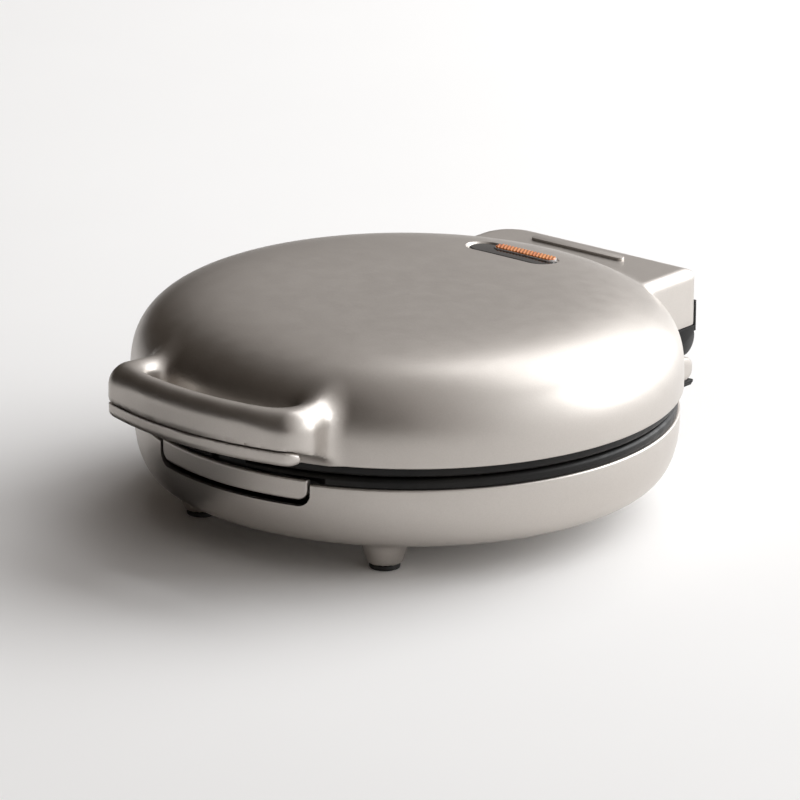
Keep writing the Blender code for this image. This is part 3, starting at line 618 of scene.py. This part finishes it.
class Shader:
    """A node material built in a few calls."""

    def __init__(self, name, **values):
        self.material = bpy.data.materials.new(name)
        self.material.use_nodes = True
        self.tree = self.material.node_tree
        self.main = self.tree.nodes["Principled BSDF"]
        self.coords = self.tree.nodes.new("ShaderNodeTexCoord").outputs["Object"]
        for key, value in values.items():
            self.main.inputs[key.replace("_", " ").title().replace("Ior", "IOR")].default_value = value

    def add(self, kind, inputs=None, **settings):
        node = self.tree.nodes.new(kind)
        for key, value in settings.items():
            setattr(node, key, value)
        for key, value in (inputs or {}).items():
            if isinstance(value, bpy.types.NodeSocket):
                self.tree.links.new(value, node.inputs[key])
            else:
                node.inputs[key].default_value = value
        return node

    def noise(self, scale, detail=3.0, stretch=None):
        where = self.coords
        if stretch:
            where = self.add("ShaderNodeMapping", {"Vector": where, "Scale": stretch}).outputs["Vector"]
        inputs = {"Vector": where, "Scale": scale, "Detail": detail}
        return self.add("ShaderNodeTexNoise", inputs).outputs["Fac"]

    def cells(self, scale, output):
        return self.add("ShaderNodeTexVoronoi", {"Vector": self.coords, "Scale": scale}).outputs[output]

    def ramp(self, value, low, high, start=0.35, end=0.65):
        """Carries start..end of a value to low..high."""
        node = self.add("ShaderNodeMapRange", {"Value": value, "From Min": start, "From Max": end})
        node.inputs["To Min"].default_value = low
        node.inputs["To Max"].default_value = high
        return node.outputs["Result"]

    def blend(self, value, first, second):
        node = self.add("ShaderNodeMix", data_type="RGBA")
        for socket, item in ((node.inputs[0], value), (node.inputs[6], first), (node.inputs[7], second)):
            if isinstance(item, bpy.types.NodeSocket):
                self.tree.links.new(item, socket)
            elif isinstance(item, float):
                socket.default_value = item
            else:
                socket.default_value = (*item, 1)
        return node.outputs[2]

    def set(self, name, output):
        self.tree.links.new(output, self.main.inputs[name])
        return self

    def colour(self, value, first, second):
        """Base colour drifting between two tones."""
        return self.set("Base Color", self.blend(self.ramp(value, 0.0, 1.0), first, second))

    def roughness(self, scale, low, high, detail=3.0):
        """Roughness drifting between two values."""
        return self.set("Roughness", self.ramp(self.noise(scale, detail), low, high))

    def bump(self, *layers):
        """Stacks (height output, strength, distance) layers into the normal."""
        normal = None
        for height, strength, distance in layers:
            inputs = {"Height": height, "Strength": strength, "Distance": distance}
            node = self.add("ShaderNodeBump", inputs)
            if normal:
                self.tree.links.new(normal, node.inputs["Normal"])
            normal = node.outputs["Normal"]
        return self.set("Normal", normal)


def paint():
    s = Shader("champagne_paint", metallic=0.9, coat_weight=0.12, coat_roughness=0.25)
    flakes = s.add("ShaderNodeSeparateColor", {"Color": s.cells(2600.0, "Color")}).outputs["Red"]
    drift = s.blend(s.ramp(s.noise(9.0), 0.0, 1.0), (0.520, 0.485, 0.450), (0.545, 0.510, 0.475))
    s.set("Base Color", s.blend(s.ramp(flakes, 0.0, 0.22, 0.0, 1.0), drift, (0.66, 0.62, 0.58)))
    s.roughness(140.0, 0.37, 0.41, 4.0)
    return s.bump((s.noise(900.0), 0.10, 0.00012), (s.noise(60.0, 2.0), 0.03, 0.0004)).material


def black_plastic():
    s = Shader("black_plastic", specular_ior_level=0.22)
    s.colour(s.noise(40.0), (0.007, 0.007, 0.007), (0.012, 0.011, 0.010))
    s.roughness(220.0, 0.34, 0.48, 4.0)
    return s.bump((s.noise(1100.0, 4.0), 0.35, 0.0001)).material


def black_gloss():
    s = Shader("black_gloss", specular_ior_level=0.3, coat_weight=0.15, coat_roughness=0.05)
    s.colour(s.noise(60.0), (0.004, 0.004, 0.004), (0.007, 0.006, 0.006))
    s.roughness(90.0, 0.10, 0.20)
    return s.bump((s.noise(500.0), 0.06, 0.0001)).material


def coating():
    s = Shader("non_stick_coating", metallic=0.15, specular_ior_level=0.5)
    specks = s.ramp(s.cells(750.0, "Distance"), 1.0, 0.0, 0.06, 0.13)
    dark = s.blend(s.ramp(s.noise(30.0, 5.0), 0.0, 1.0), (0.030, 0.029, 0.029), (0.044, 0.042, 0.041))
    s.set("Base Color", s.blend(specks, dark, (0.17, 0.165, 0.16)))
    s.roughness(160.0, 0.36, 0.52, 5.0)
    return s.bump((s.noise(1400.0, 4.0), 0.30, 0.00008), (s.noise(70.0), 0.08, 0.0004)).material


def rubber():
    s = Shader("rubber")
    s.colour(s.noise(80.0), (0.022, 0.021, 0.020), (0.036, 0.034, 0.033))
    s.roughness(200.0, 0.72, 0.88)
    return s.bump((s.noise(800.0, 4.0), 0.5, 0.0002)).material


def amber():
    s = Shader("amber_lens", transmission_weight=0.25, ior=1.49, coat_weight=0.5, coat_roughness=0.06)
    s.colour(s.noise(180.0, 3.0), (0.74, 0.17, 0.022), (0.92, 0.33, 0.06))
    s.roughness(300.0, 0.18, 0.30)
    return s.bump((s.noise(420.0), 0.15, 0.0002)).material


def clear():
    s = Shader("clear_edge", transmission_weight=0.35, ior=1.49, coat_weight=0.4)
    s.colour(s.noise(120.0), (0.80, 0.81, 0.80), (0.88, 0.88, 0.87))
    s.roughness(240.0, 0.12, 0.24)
    return s.bump((s.noise(400.0), 0.05, 0.0001)).material


def steel(name, tint, rough):
    s = Shader(name, metallic=1.0)
    lines = s.noise(90.0, 4.0, stretch=(1.0, 1.0, 30.0))
    warm = tuple(c * 0.86 for c in tint)
    s.colour(lines, tint, warm)
    s.roughness(240.0, rough - 0.07, rough + 0.09, 4.0)
    return s.bump((lines, 0.12, 0.0001)).material


def ceramic():
    s = Shader("ceramic")
    s.colour(s.noise(60.0), (0.72, 0.69, 0.63), (0.80, 0.78, 0.73))
    s.roughness(200.0, 0.48, 0.66)
    return s.bump((s.noise(600.0), 0.2, 0.0002)).material


def glass():
    s = Shader("lamp_glass", transmission_weight=0.9, ior=1.5)
    s.colour(s.noise(80.0), (0.92, 0.80, 0.66), (0.97, 0.90, 0.80))
    s.roughness(200.0, 0.04, 0.10)
    return s.material


def board():
    s = Shader("lamp_board")
    s.colour(s.noise(150.0, 5.0), (0.30, 0.21, 0.09), (0.42, 0.31, 0.15))
    s.roughness(300.0, 0.5, 0.7)
    return s.bump((s.noise(900.0), 0.2, 0.0001)).material


MATERIALS = {
    "champagne": paint(),
    "black_plastic": black_plastic(),
    "black_gloss": black_gloss(),
    "coated_aluminium": coating(),
    "rubber": rubber(),
    "amber_lens": amber(),
    "clear": clear(),
    "screw_steel": steel("screw_steel", (0.60, 0.59, 0.57), 0.30),
    "element_steel": steel("element_steel", (0.36, 0.33, 0.31), 0.38),
    "sheet_aluminium": steel("sheet_aluminium", (0.74, 0.74, 0.75), 0.34),
    "ceramic": ceramic(),
    "lamp_glass": glass(),
    "board": board(),
}


def place(obj, body, finish, replaces=(), sharp=38):
    """Moves a finished mesh into the frame, gives it its material and says what it rides on."""
    obj.data.transform(Matrix.Translation((0, AXIS_Y, 0)))
    obj.data.materials.clear()
    obj.data.materials.append(MATERIALS[finish])
    obj.data.shade_smooth()
    obj.data.set_sharp_from_angle(angle=math.radians(sharp))
    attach(obj, body)
    if replaces:
        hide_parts(*replaces)
    return obj


# ---------------------------------------------------------------- lid


def arch(half, foot, crown, corner, low, high):
    """A window through along Y, square at its foot and round at the two corners of its crown."""
    up = 1 if crown > foot else -1
    right = arc((half - corner, crown - up * corner), corner, 0.0, up * math.pi / 2, 8)
    loop = [(half, foot), *right, *[(-x, z) for x, z in reversed(right)], (-half, foot)]
    return extrude("window", [loop], low, high, "XZ")


def funnel(name, foot, mouth, centre, low, high):
    """An oblong cutter that widens upwards, and goes on straight above."""
    bm = bmesh.new()
    rings = []
    for (half_length, half_width), z in ((foot, low), (mouth, high), (mouth, high + 0.004)):
        loop = oblong(half_length, half_width, centre)
        rings.append([bm.verts.new((x, y, z)) for x, y in loop])
    for below, above in zip(rings, rings[1:]):
        for k in range(len(below)):
            j = (k + 1) % len(below)
            bm.faces.new((below[k], below[j], above[j], above[k]))
    bm.faces.new(rings[0][::-1])
    bm.faces.new(rings[-1])
    bmesh.ops.recalc_face_normals(bm, faces=bm.faces)
    return from_bmesh(name, bm)


def closed_up(obj):
    """Welds what a cut left too close together and fills any pinhole."""
    bm = bmesh.new()
    bm.from_mesh(obj.data)
    bmesh.ops.dissolve_degenerate(bm, dist=1e-6, edges=bm.edges)
    bmesh.ops.holes_fill(bm, edges=[e for e in bm.edges if len(e.link_faces) == 1], sides=8)
    bm.to_mesh(obj.data)
    bm.free()
    return obj


def build_lid_shell():
    """Lid with its openings for the hinge, the hinge cover, the handle's lower cover and the window."""
    low, high = (-0.115, -0.137, 0.0448), (0.115, 0.130, 0.0912)
    shell = moulding("lid_shell_skin", lid_field, lid_inside, low, high, LID_RIM, True)
    cut(shell, brick("hinge_room", (-0.0490, 0.0990, 0.0440), (0.0490, 0.1244, 0.0536)))
    cut(shell, brick("rear_window", (-0.0345, 0.1200, 0.0498), (0.0462, 0.1300, 0.0628)))
    cut(shell, turned_front(arch(COVER_HALF, 0.0400, HANDLE_SEAM, 0.0038, -0.150, COVER_BACK)))
    pocket = extrude("pocket", [oblong(*WINDOW_HALVES, (0, WINDOW_Y))], 0.070, 0.0910)
    rim_cut = funnel("rim_cut", WINDOW_HALVES, MOUTH_HALVES, (0, WINDOW_Y), 0.0869, 0.0885)
    rib = extrude("rib", [oblong(0.0240, 0.0022, (-0.0030, 0.1155))], BOX_TOP - 0.001, BOX_TOP + 0.0011)
    soften(rib, 0.0005, 3, chosen=lambda p: p.z > BOX_TOP)
    join(cut(cut(shell, pocket), rim_cut), rib)
    return place(closed_up(shell), "lid", "champagne", replaces=["lid_shell"])


def build_cover():
    low, high = (-0.060, -0.137, 0.053), (0.058, -0.112, 0.063)
    cover = surface("handle_cover_skin", cover_field, low, high, 0.0006)
    for side in (-1, 1):
        x, y = side * COVER_SCREW[0], COVER_SCREW[1]
        cut(cover, turned_front(bar("seat", (x, y, 0.050), (x, y, 0.0581), 0.0036)))
    return place(cover, "lid", "champagne", replaces=["handle_lower_cover"])


def build_base_shell():
    """Base with the latch's recess, sockets for the foot pads and the bush's hole."""
    low, high = (-0.114, -0.114, 0.0005), (0.114, 0.130, 0.0440)
    shell = moulding("base_shell_skin", base_field, base_inside, low, high, BASE_RIM, False)
    cut(shell, turned_front(arch(0.0400, 0.0550, 0.0307, 0.0055, -0.130, -0.100)))
    for fx, fy in foot_centres():
        cut(shell, bar("socket", (fx, fy, 0.0), (fx, fy, 0.0056), 0.0033))
    cut(shell, bar("gland_hole", (0, 0.110, GLAND_Z), (0, 0.135, GLAND_Z), 0.0040))
    return place(closed_up(shell), "base", "champagne", replaces=["base_shell"])


def build_latch():
    """Front panel in the body colour, and behind it the black hub, web and hooked tongue."""
    low, high = (-0.043, -0.113, 0.032), (0.041, -0.099, 0.0415)
    panel = surface("latch_panel_skin", panel_field, low, high, 0.0005)
    place(panel, "latch", "champagne", replaces=["latch_lever"])
    left, right = (-LATCH_HALF, LATCH_Y, LATCH_Z), (LATCH_HALF, LATCH_Y, LATCH_Z)
    hub = bar("latch_tongue_and_hub", left, right, 0.0026)
    web = brick("web", (-LATCH_HALF, -0.1092, LATCH_Z - 0.0022), (LATCH_HALF, LATCH_Y, LATCH_Z + 0.0022))
    side_view = eased(
        [
            (-0.1056, 0.0363, 0.0),
            (-0.1056, 0.0544, 0.0004),
            (-0.1075, 0.0544, 0.0004),
            (-0.1083, 0.0533, 0.0004),
            (-0.1083, 0.0523, 0.0),
            (-0.1074, 0.0523, 0.0),
            (-0.1074, 0.0363, 0.0),
        ]
    )
    tongue = extrude("tongue", [side_view], -0.0070, 0.0070, "YZ")
    join(hub, web, tongue)
    cut(hub, bar("bore", (-0.013, LATCH_Y, LATCH_Z), (0.013, LATCH_Y, LATCH_Z), 0.0015))
    soften(hub, 0.0003, 2)
    return place(hub, "latch", "black_plastic", replaces=["latch_lever"])


# ---------------------------------------------------------------- black frames and plates


def on_hinge(name, start, end, radius, sides=32):
    """A bar along the hinge's axis."""
    return bar(name, (start, HINGE_Y, HINGE_Z), (end, HINGE_Y, HINGE_Z), radius, sides)


def screw_sinks(ring, low, high):
    """Sinks for the heads of the frame's screws."""
    for angle in FRAME_SCREWS:
        p = around(FRAME_SCREW_CIRCLE, angle)
        cut(ring, bar("sink", (p.x, p.y, low), (p.x, p.y, high), 0.0035))
    return ring


def build_upper_frame():
    """Ring round the upper plate, with a bridge and two outer knuckles at the hinge."""
    section = [
        (FRAME_BORE, LID_RIM + 0.0006, 0.0),
        (0.1046, LID_RIM + 0.0006, 0.0),
        (0.1064, LID_RIM + 0.0022, 0.0),
        (0.1098, LID_RIM + 0.0022, 0.0006),
        (0.1098, LID_RIM - 0.0003, 0.0),
        (0.1106, LID_RIM - 0.0003, 0.0003),
        (0.1106, PARTING + 0.0014, 0.0007),
        (0.1093, PARTING + 0.0003, 0.0007),
        (0.1052, PARTING + 0.0003, 0.0003),
        (0.1049, PARTING + 0.0008, 0.0003),
        (0.1032, PARTING + 0.0008, 0.0003),
        (0.1029, PARTING + 0.0003, 0.0003),
        (FRAME_BORE, PARTING + 0.0003, 0.0005),
    ]
    ring = lathe("upper_plate_frame_ring", eased(section, 3))
    left, right = (-BRIDGE_HALF, 0.1020, PARTING + 0.0003), (BRIDGE_HALF, BRIDGE_END, LID_RIM + 0.0015)
    join(ring, brick("bridge", left, right))
    for side in (-1, 1):
        low, high = sorted((side * 0.0363, side * BRIDGE_HALF))
        side_view = eased(
            [
                (0.1050, PARTING + 0.0003, 0.0),
                (HINGE_Y, PARTING + 0.0003, 0.0),
                (HINGE_Y, HINGE_Z + KNUCKLE_RADIUS - 1e-4, 0.0),
                (0.1050, HINGE_Z + KNUCKLE_RADIUS - 1e-4, 0.0020),
            ]
        )
        tail = extrude("tail", [side_view], low, high, "YZ")
        knuckle = on_hinge("knuckle", low, high, KNUCKLE_RADIUS, 64)
        join(ring, tail, knuckle)
        inner = low - 0.001 if side > 0 else high + 0.001
        cut(ring, on_hinge("bore", inner, side * 0.0475, HINGE_BORE))
    cut(ring, brick("notch", (-0.0090, -0.120, 0.040), (0.0090, -0.1028, 0.060)))
    screw_sinks(ring, PARTING - 0.001, PARTING + 0.0024)
    return place(ring, "lid", "black_plastic", replaces=["upper_plate_frame"])


def build_lower_frame():
    """Ring round the lower plate, with a bridge, two inner knuckles and room for the latch."""
    top = PARTING - 0.0003
    section = [
        (FRAME_BORE, top, 0.0005),
        (0.1029, top, 0.0003),
        (0.1032, top - 0.0005, 0.0003),
        (0.1049, top - 0.0005, 0.0003),
        (0.1052, top, 0.0003),
        (0.1090, top, 0.0007),
        (0.1102, top - 0.0012, 0.0006),
        (0.1102, BASE_RIM + 0.0003, 0.0003),
        (0.1087, BASE_RIM + 0.0003, 0.0),
        (0.1087, BASE_RIM - 0.0022, 0.0),
        (0.1064, BASE_RIM - 0.0022, 0.0),
        (0.1046, BASE_RIM - 0.0006, 0.0),
        (FRAME_BORE, BASE_RIM - 0.0006, 0.0),
    ]
    ring = lathe("lower_plate_frame_ring", eased(section, 3))
    left, right = (-BRIDGE_HALF, 0.100, BASE_RIM + 0.0010), (BRIDGE_HALF, BRIDGE_END, top)
    join(ring, brick("bridge", left, right))
    for side in (-1, 1):
        low, high = sorted((side * 0.0200, side * 0.0358))
        side_view = eased(
            [
                (0.1115, BASE_RIM + 0.0014, 0.0),
                (HINGE_Y, BASE_RIM + 0.0014, 0.0),
                (HINGE_Y, HINGE_Z, 0.0),
                (0.1155, HINGE_Z, 0.0005),
                (0.1138, HINGE_Z - 0.0020, 0.0005),
                (0.1138, top - 0.0005, 0.0),
                (0.1115, top - 0.0005, 0.0),
            ]
        )
        tail = extrude("tail", [side_view], low, high, "YZ")
        knuckle = on_hinge("knuckle", low, high, KNUCKLE_RADIUS, 64)
        join(ring, join(tail, knuckle))
        cut(ring, on_hinge("bore", low - 0.001, high + 0.001, HINGE_BORE))
    cut(ring, brick("notch", (-0.0090, -0.120, 0.030), (0.0090, -0.1036, 0.060)))
    cut(ring, brick("latch_room", (-0.0430, -0.120, 0.030), (0.0430, -0.1005, 0.0432)))
    for side in (-1, 1):
        low, high = sorted((side * 0.0300, side * 0.0430))
        cut(ring, brick("corner_room", (low, -0.120, 0.030), (high, -0.0985, 0.0432)))
    screw_sinks(ring, PARTING - 0.0024, PARTING + 0.001)
    return place(ring, "base", "black_plastic", replaces=["lower_plate_frame"])


def build_plate(word, body, side):
    face, reach, margin = PARTING + side * PLATE_BACK, 0.101, 0.0015
    low, high = sorted((face - side * margin, face + side * (PLATE_THICKNESS + margin)))
    field, name = plate_field(side), f"{word}_plate_casting"
    plate = surface(name, field, (-reach, -reach, low), (reach, reach, high), 0.0011)
    return place(plate, body, "coated_aluminium", replaces=[f"{word}_baking_plate"], sharp=60)


# ---------------------------------------------------------------- window, feet, hinge, screws


def build_indicator():
    """Window in the lid: glossy floor, clear block and the ribbed amber lens on it."""
    low, high = (-0.0240, WINDOW_Y - 0.0092, 0.0828), (0.0240, WINDOW_Y + 0.0092, 0.0892)
    bezel = surface("indicator_bezel_floor", bezel_field, low, high, 0.0004)
    place(bezel, "lid", "black_gloss", replaces=["indicator_bezel"])
    block = extrude("indicator_lens_block", [oblong(0.0156, 0.0030, LENS, 24)], 0.0836, 0.0881)
    soften(block, 0.0003, 2)
    place(block, "lid", "clear")
    low, high = (-0.0130, LENS[1] - 0.0032, 0.0866), (0.0210, LENS[1] + 0.0032, 0.0890)
    lens = surface("indicator_lens_ribbed", lens_field, low, high, 0.00022)
    place(lens, "lid", "amber_lens", replaces=["indicator_lens"], sharp=60)


def build_feet():
    section = eased(
        [
            (0.0, 0.0004, 0.0),
            (0.0034, 0.0004, 0.0003),
            (0.0038, 0.0, 0.0003),
            (0.0062, 0.0, 0.0007),
            (0.0062, 0.0020, 0.0004),
            (0.0030, 0.0020, 0.0),
            (0.0030, 0.0052, 0.0004),
            (0.0, 0.0052, 0.0),
        ]
    )
    for fx, fy in foot_centres():
        name = f"foot_pad_{'front' if fy < 0 else 'rear'}_{'left' if fx < 0 else 'right'}"
        pad = lathe(name + "_turned", [p for p in section if p[0] > 0 or p[1] in (0.0004, 0.0052)], 64, False)
        pad.data.transform(Matrix.Translation((fx, fy, 0)))
        place(pad, "base", "rubber", replaces=[name])


def screw(name, head, tip, body, replaces):
    """A pan-head screw with a cross recess; its rolled thread is a stack of ridges."""
    head, tip = Vector(head), Vector(tip)
    length = (tip - head).length
    section = [(0.0, 0.0)]
    section += [(SCREW_HEAD * math.sin(a), 0.0009 * (1 - math.cos(a))) for a in (0.5, 0.9, 1.25)]
    section += [(SCREW_HEAD, 0.0009), (SCREW_HEAD, 0.0016), (SCREW_HEAD - 0.0003, 0.0019)]
    section += [(SCREW_SHANK, 0.0019)]
    ridges = int((length - 0.0045) / SCREW_PITCH)
    for k in range(ridges):
        z = 0.0026 + SCREW_PITCH * k
        section += [(SCREW_SHANK * 0.82, z), (SCREW_SHANK, z + 0.00035)]
    section += [(SCREW_SHANK * 0.8, length - 0.0012), (0.0, length)]
    body_of_screw = lathe(name, section, 48, False)
    for size in ((0.0034, 0.0007), (0.0007, 0.0034)):
        half = Vector((size[0] / 2, size[1] / 2, 0.0))
        cut(body_of_screw, brick("cross", -half - Vector((0, 0, 0.001)), half + Vector((0, 0, 0.0011))))
    turn = (tip - head).to_track_quat("Z", "Y").to_matrix().to_4x4()
    body_of_screw.data.transform(Matrix.Translation(head) @ turn)
    return place(body_of_screw, body, "screw_steel", replaces=[replaces], sharp=30)


def build_screws():
    for word, body, side in (("upper", "lid", 1), ("lower", "base", -1)):
        for k, angle in enumerate(FRAME_SCREWS):
            head = around(FRAME_SCREW_CIRCLE, angle, PARTING + side * 0.0004)
            tip = around(FRAME_SCREW_CIRCLE, angle, PARTING + side * 0.0140)
            screw(f"{word}_rim_screw_{k + 1}", head, tip, body, f"{word}_frame_screw_{k + 1}")
    for side, word in ((-1, "left"), (1, "right")):
        spot = Matrix.Rotation(FRONT_TURN, 3, "Z") @ Vector((side * COVER_SCREW[0], COVER_SCREW[1], 0))
        head, tip = spot + Vector((0, 0, HANDLE_FOOT + 0.0014)), spot + Vector((0, 0, 0.0655))
        screw(f"handle_cover_screw_{word}", head, tip, "lid", f"handle_screw_{word}")


def build_hinge_pins():
    for side, word in ((-1, "left"), (1, "right")):
        start, end = side * 0.0205, side * 0.0472
        pin = on_hinge(f"hinge_pin_{word}_turned", start, end, HINGE_PIN, 48)
        soften(pin, 0.0003, 2)
        place(pin, "base", "screw_steel", replaces=[f"hinge_pin_{word}"])


def build_gland():
    """Rubber bush in the base's back."""
    section = eased(
        [
            (0.0027, -0.0080, 0.0),
            (0.0037, -0.0080, 0.0),
            (0.0037, 0.0003, 0.0),
            (0.0062, 0.0003, 0.0),
            (0.0062, 0.0010, 0.0006),
            (0.0027, 0.0010, 0.0005),
        ]
    )
    gland = lathe("cord_gland_turned", section, 64)
    backwards = Matrix.Rotation(-math.pi / 2, 4, "X")
    gland.data.transform(Matrix.Translation((0, REAR_END, GLAND_Z)) @ backwards)
    place(gland, "base", "rubber", replaces=["cord_gland"])


def build_hinge_cover():
    """Black cover over the hinge: a plate in the box's rear window with a cheek down its right end."""
    cover = brick("hinge_rear_cover_moulded", (-0.0338, 0.1240, 0.0515), (0.0455, 0.1278, 0.0626))
    join(cover, brick("plate", (-0.0352, 0.1269, 0.0505), (0.0506, 0.1278, 0.0638)))
    sweep = arc((HINGE_Y, HINGE_Z), 0.0074, -2.35, 0.28, 12)
    outline = [*sweep, (0.1276, HINGE_Z + 0.0018), (0.1276, 0.0531), (0.1160, 0.0531), (0.1142, 0.0515)]
    join(cover, extrude("cheek", [outline], 0.0489, 0.0506, "YZ"))
    soften(cover, 0.0004, 2)
    place(cover, "lid", "black_gloss", replaces=["hinge_rear_cover"])


def finish_carried_nodes():
    """CAD nodes whose shape stays: softer edges and a real finish."""
    finishes = {
        "base_rear_cover": "black_plastic",
        "lower_heating_element": "element_steel",
        "upper_heating_element": "element_steel",
        "lower_heat_reflector": "sheet_aluminium",
        "upper_heat_reflector": "sheet_aluminium",
        "thermostat": "ceramic",
        "thermal_fuse": "ceramic",
        "terminal_block": "ceramic",
        "indicator_lamp": "lamp_glass",
        "lamp_holder": "board",
        "latch_pin": "screw_steel",
    }
    finishes.update({f"{w}_plate_screw_{k}": "screw_steel" for w in ("lower", "upper") for k in (1, 2, 3)})
    for name, finish in finishes.items():
        node = frame["nodes"][name]
        node.data.materials.clear()
        node.data.materials.append(MATERIALS[finish])
        weld = node.modifiers.new("weld", "WELD")
        weld.merge_threshold = 1e-6
        edge = node.modifiers.new("edges", "BEVEL")
        edge.width = 0.00025
        edge.segments = 2
        edge.limit_method = "ANGLE"
        edge.angle_limit = math.radians(50)


# ---------------------------------------------------------------- studio


def area_light(name, place_at, target, size, power, colour):
    data = bpy.data.lights.new(name, "AREA")
    data.shape = "RECTANGLE"
    data.size, data.size_y = size
    data.energy = power
    data.color = colour
    obj = bpy.data.objects.new(name, data)
    bpy.context.scene.collection.objects.link(obj)
    obj.location = place_at
    obj.rotation_euler = (Vector(target) - Vector(place_at)).to_track_quat("-Z", "Y").to_euler()


def black_card():
    """Painted shadow: a dark sheet on the floor beside the near left foot, standing in for the floor's shade
    there; only reflections see it.
    """
    bm = bmesh.new()
    bmesh.ops.create_grid(bm, x_segments=2, y_segments=2, size=0.5)
    bmesh.ops.scale(bm, vec=(0.13, 0.15, 1), verts=bm.verts)
    card = from_bmesh("black_card", bm)
    card.data.transform(Matrix.Translation((-0.100, -0.160, 0.0012)))
    s = Shader("painted_shadow_card_paint", specular_ior_level=0.0)
    # Dark brown painted shade: the floor's shadow as the metal paint reflects it.
    s.colour(s.noise(12.0), (0.012, 0.009, 0.006), (0.02, 0.014, 0.01))
    card.data.materials.append(s.material)
    card.visible_camera = card.visible_diffuse = card.visible_shadow = card.visible_transmission = False


def build_studio():
    """Pale floor, two softboxes, and a room from brown dark on the near left to white on the far right."""
    bm = bmesh.new()
    bmesh.ops.create_grid(bm, x_segments=2, y_segments=2, size=4.0)
    floor = from_bmesh("floor", bm)
    s = Shader("floor_paint", specular_ior_level=0.15)
    s.colour(s.noise(3.0), (0.91, 0.90, 0.89), (0.93, 0.92, 0.91))
    s.roughness(20.0, 0.85, 0.95)
    floor.data.materials.append(s.material)
    world = bpy.data.worlds.new("studio")
    bpy.context.scene.world = world
    world.use_nodes = True
    tree = world.node_tree
    where = tree.nodes.new("ShaderNodeTexCoord").outputs["Generated"]
    facing = tree.nodes.new("ShaderNodeVectorMath")
    facing.operation = "DOT_PRODUCT"
    facing.inputs[1].default_value = Vector((0.70, 0.68, 0.20)).normalized()
    tree.links.new(where, facing.inputs[0])
    spread = tree.nodes.new("ShaderNodeMapRange")
    spread.inputs["From Min"].default_value = -1.0
    tree.links.new(facing.outputs["Value"], spread.inputs["Value"])
    room = tree.nodes.new("ShaderNodeValToRGB")
    room.color_ramp.interpolation = "EASE"
    steps = ((0.0, (0.008, 0.005, 0.003)), (0.41, (0.040, 0.029, 0.020)), (0.62, (0.47, 0.445, 0.43)))
    room.color_ramp.elements[1].color = (1.25, 1.25, 1.25, 1)
    room.color_ramp.elements[0].color = (*steps[0][1], 1)
    for place_on, colour in steps[1:]:
        room.color_ramp.elements.new(place_on).color = (*colour, 1)
    tree.links.new(spread.outputs["Result"], room.inputs["Fac"])
    tree.links.new(room.outputs["Color"], tree.nodes["Background"].inputs["Color"])
    middle = (0, 0, 0.05)
    area_light("key_right", (0.95, 1.55, 0.75), middle, (2.2, 1.3), 38, (0.96, 0.98, 1.0))
    area_light("top_rear", (0.15, 1.15, 1.4), middle, (1.6, 1.2), 13, (0.97, 0.985, 1.0))
    black_card()
    bpy.context.scene.view_settings.view_transform = "Standard"


def build_camera():
    data = bpy.data.cameras.new("camera")
    data.lens = 246.4
    data.sensor_width = 36
    data.clip_start = 0.1
    data.clip_end = 20
    camera = bpy.data.objects.new("camera", data)
    bpy.context.scene.collection.objects.link(camera)
    right = Vector((0.76773, 0.64075, 0.00599))
    up = Vector((-0.20587, 0.23779, 0.94925))
    back = Vector((0.60680, -0.73000, 0.31447))
    turn = Matrix((right, up, back)).transposed().to_4x4()
    camera.matrix_world = Matrix.Translation((1.35136, -1.63025 + AXIS_Y, 0.74223)) @ turn
    bpy.context.scene.camera = camera


build_camera()
build_studio()
build_lid_shell()
build_cover()
build_base_shell()
build_latch()
build_upper_frame()
build_lower_frame()
build_plate("upper", "lid", 1)
build_plate("lower", "base", -1)
build_indicator()
build_feet()
build_screws()
build_hinge_pins()
build_gland()
build_hinge_cover()
finish_carried_nodes()
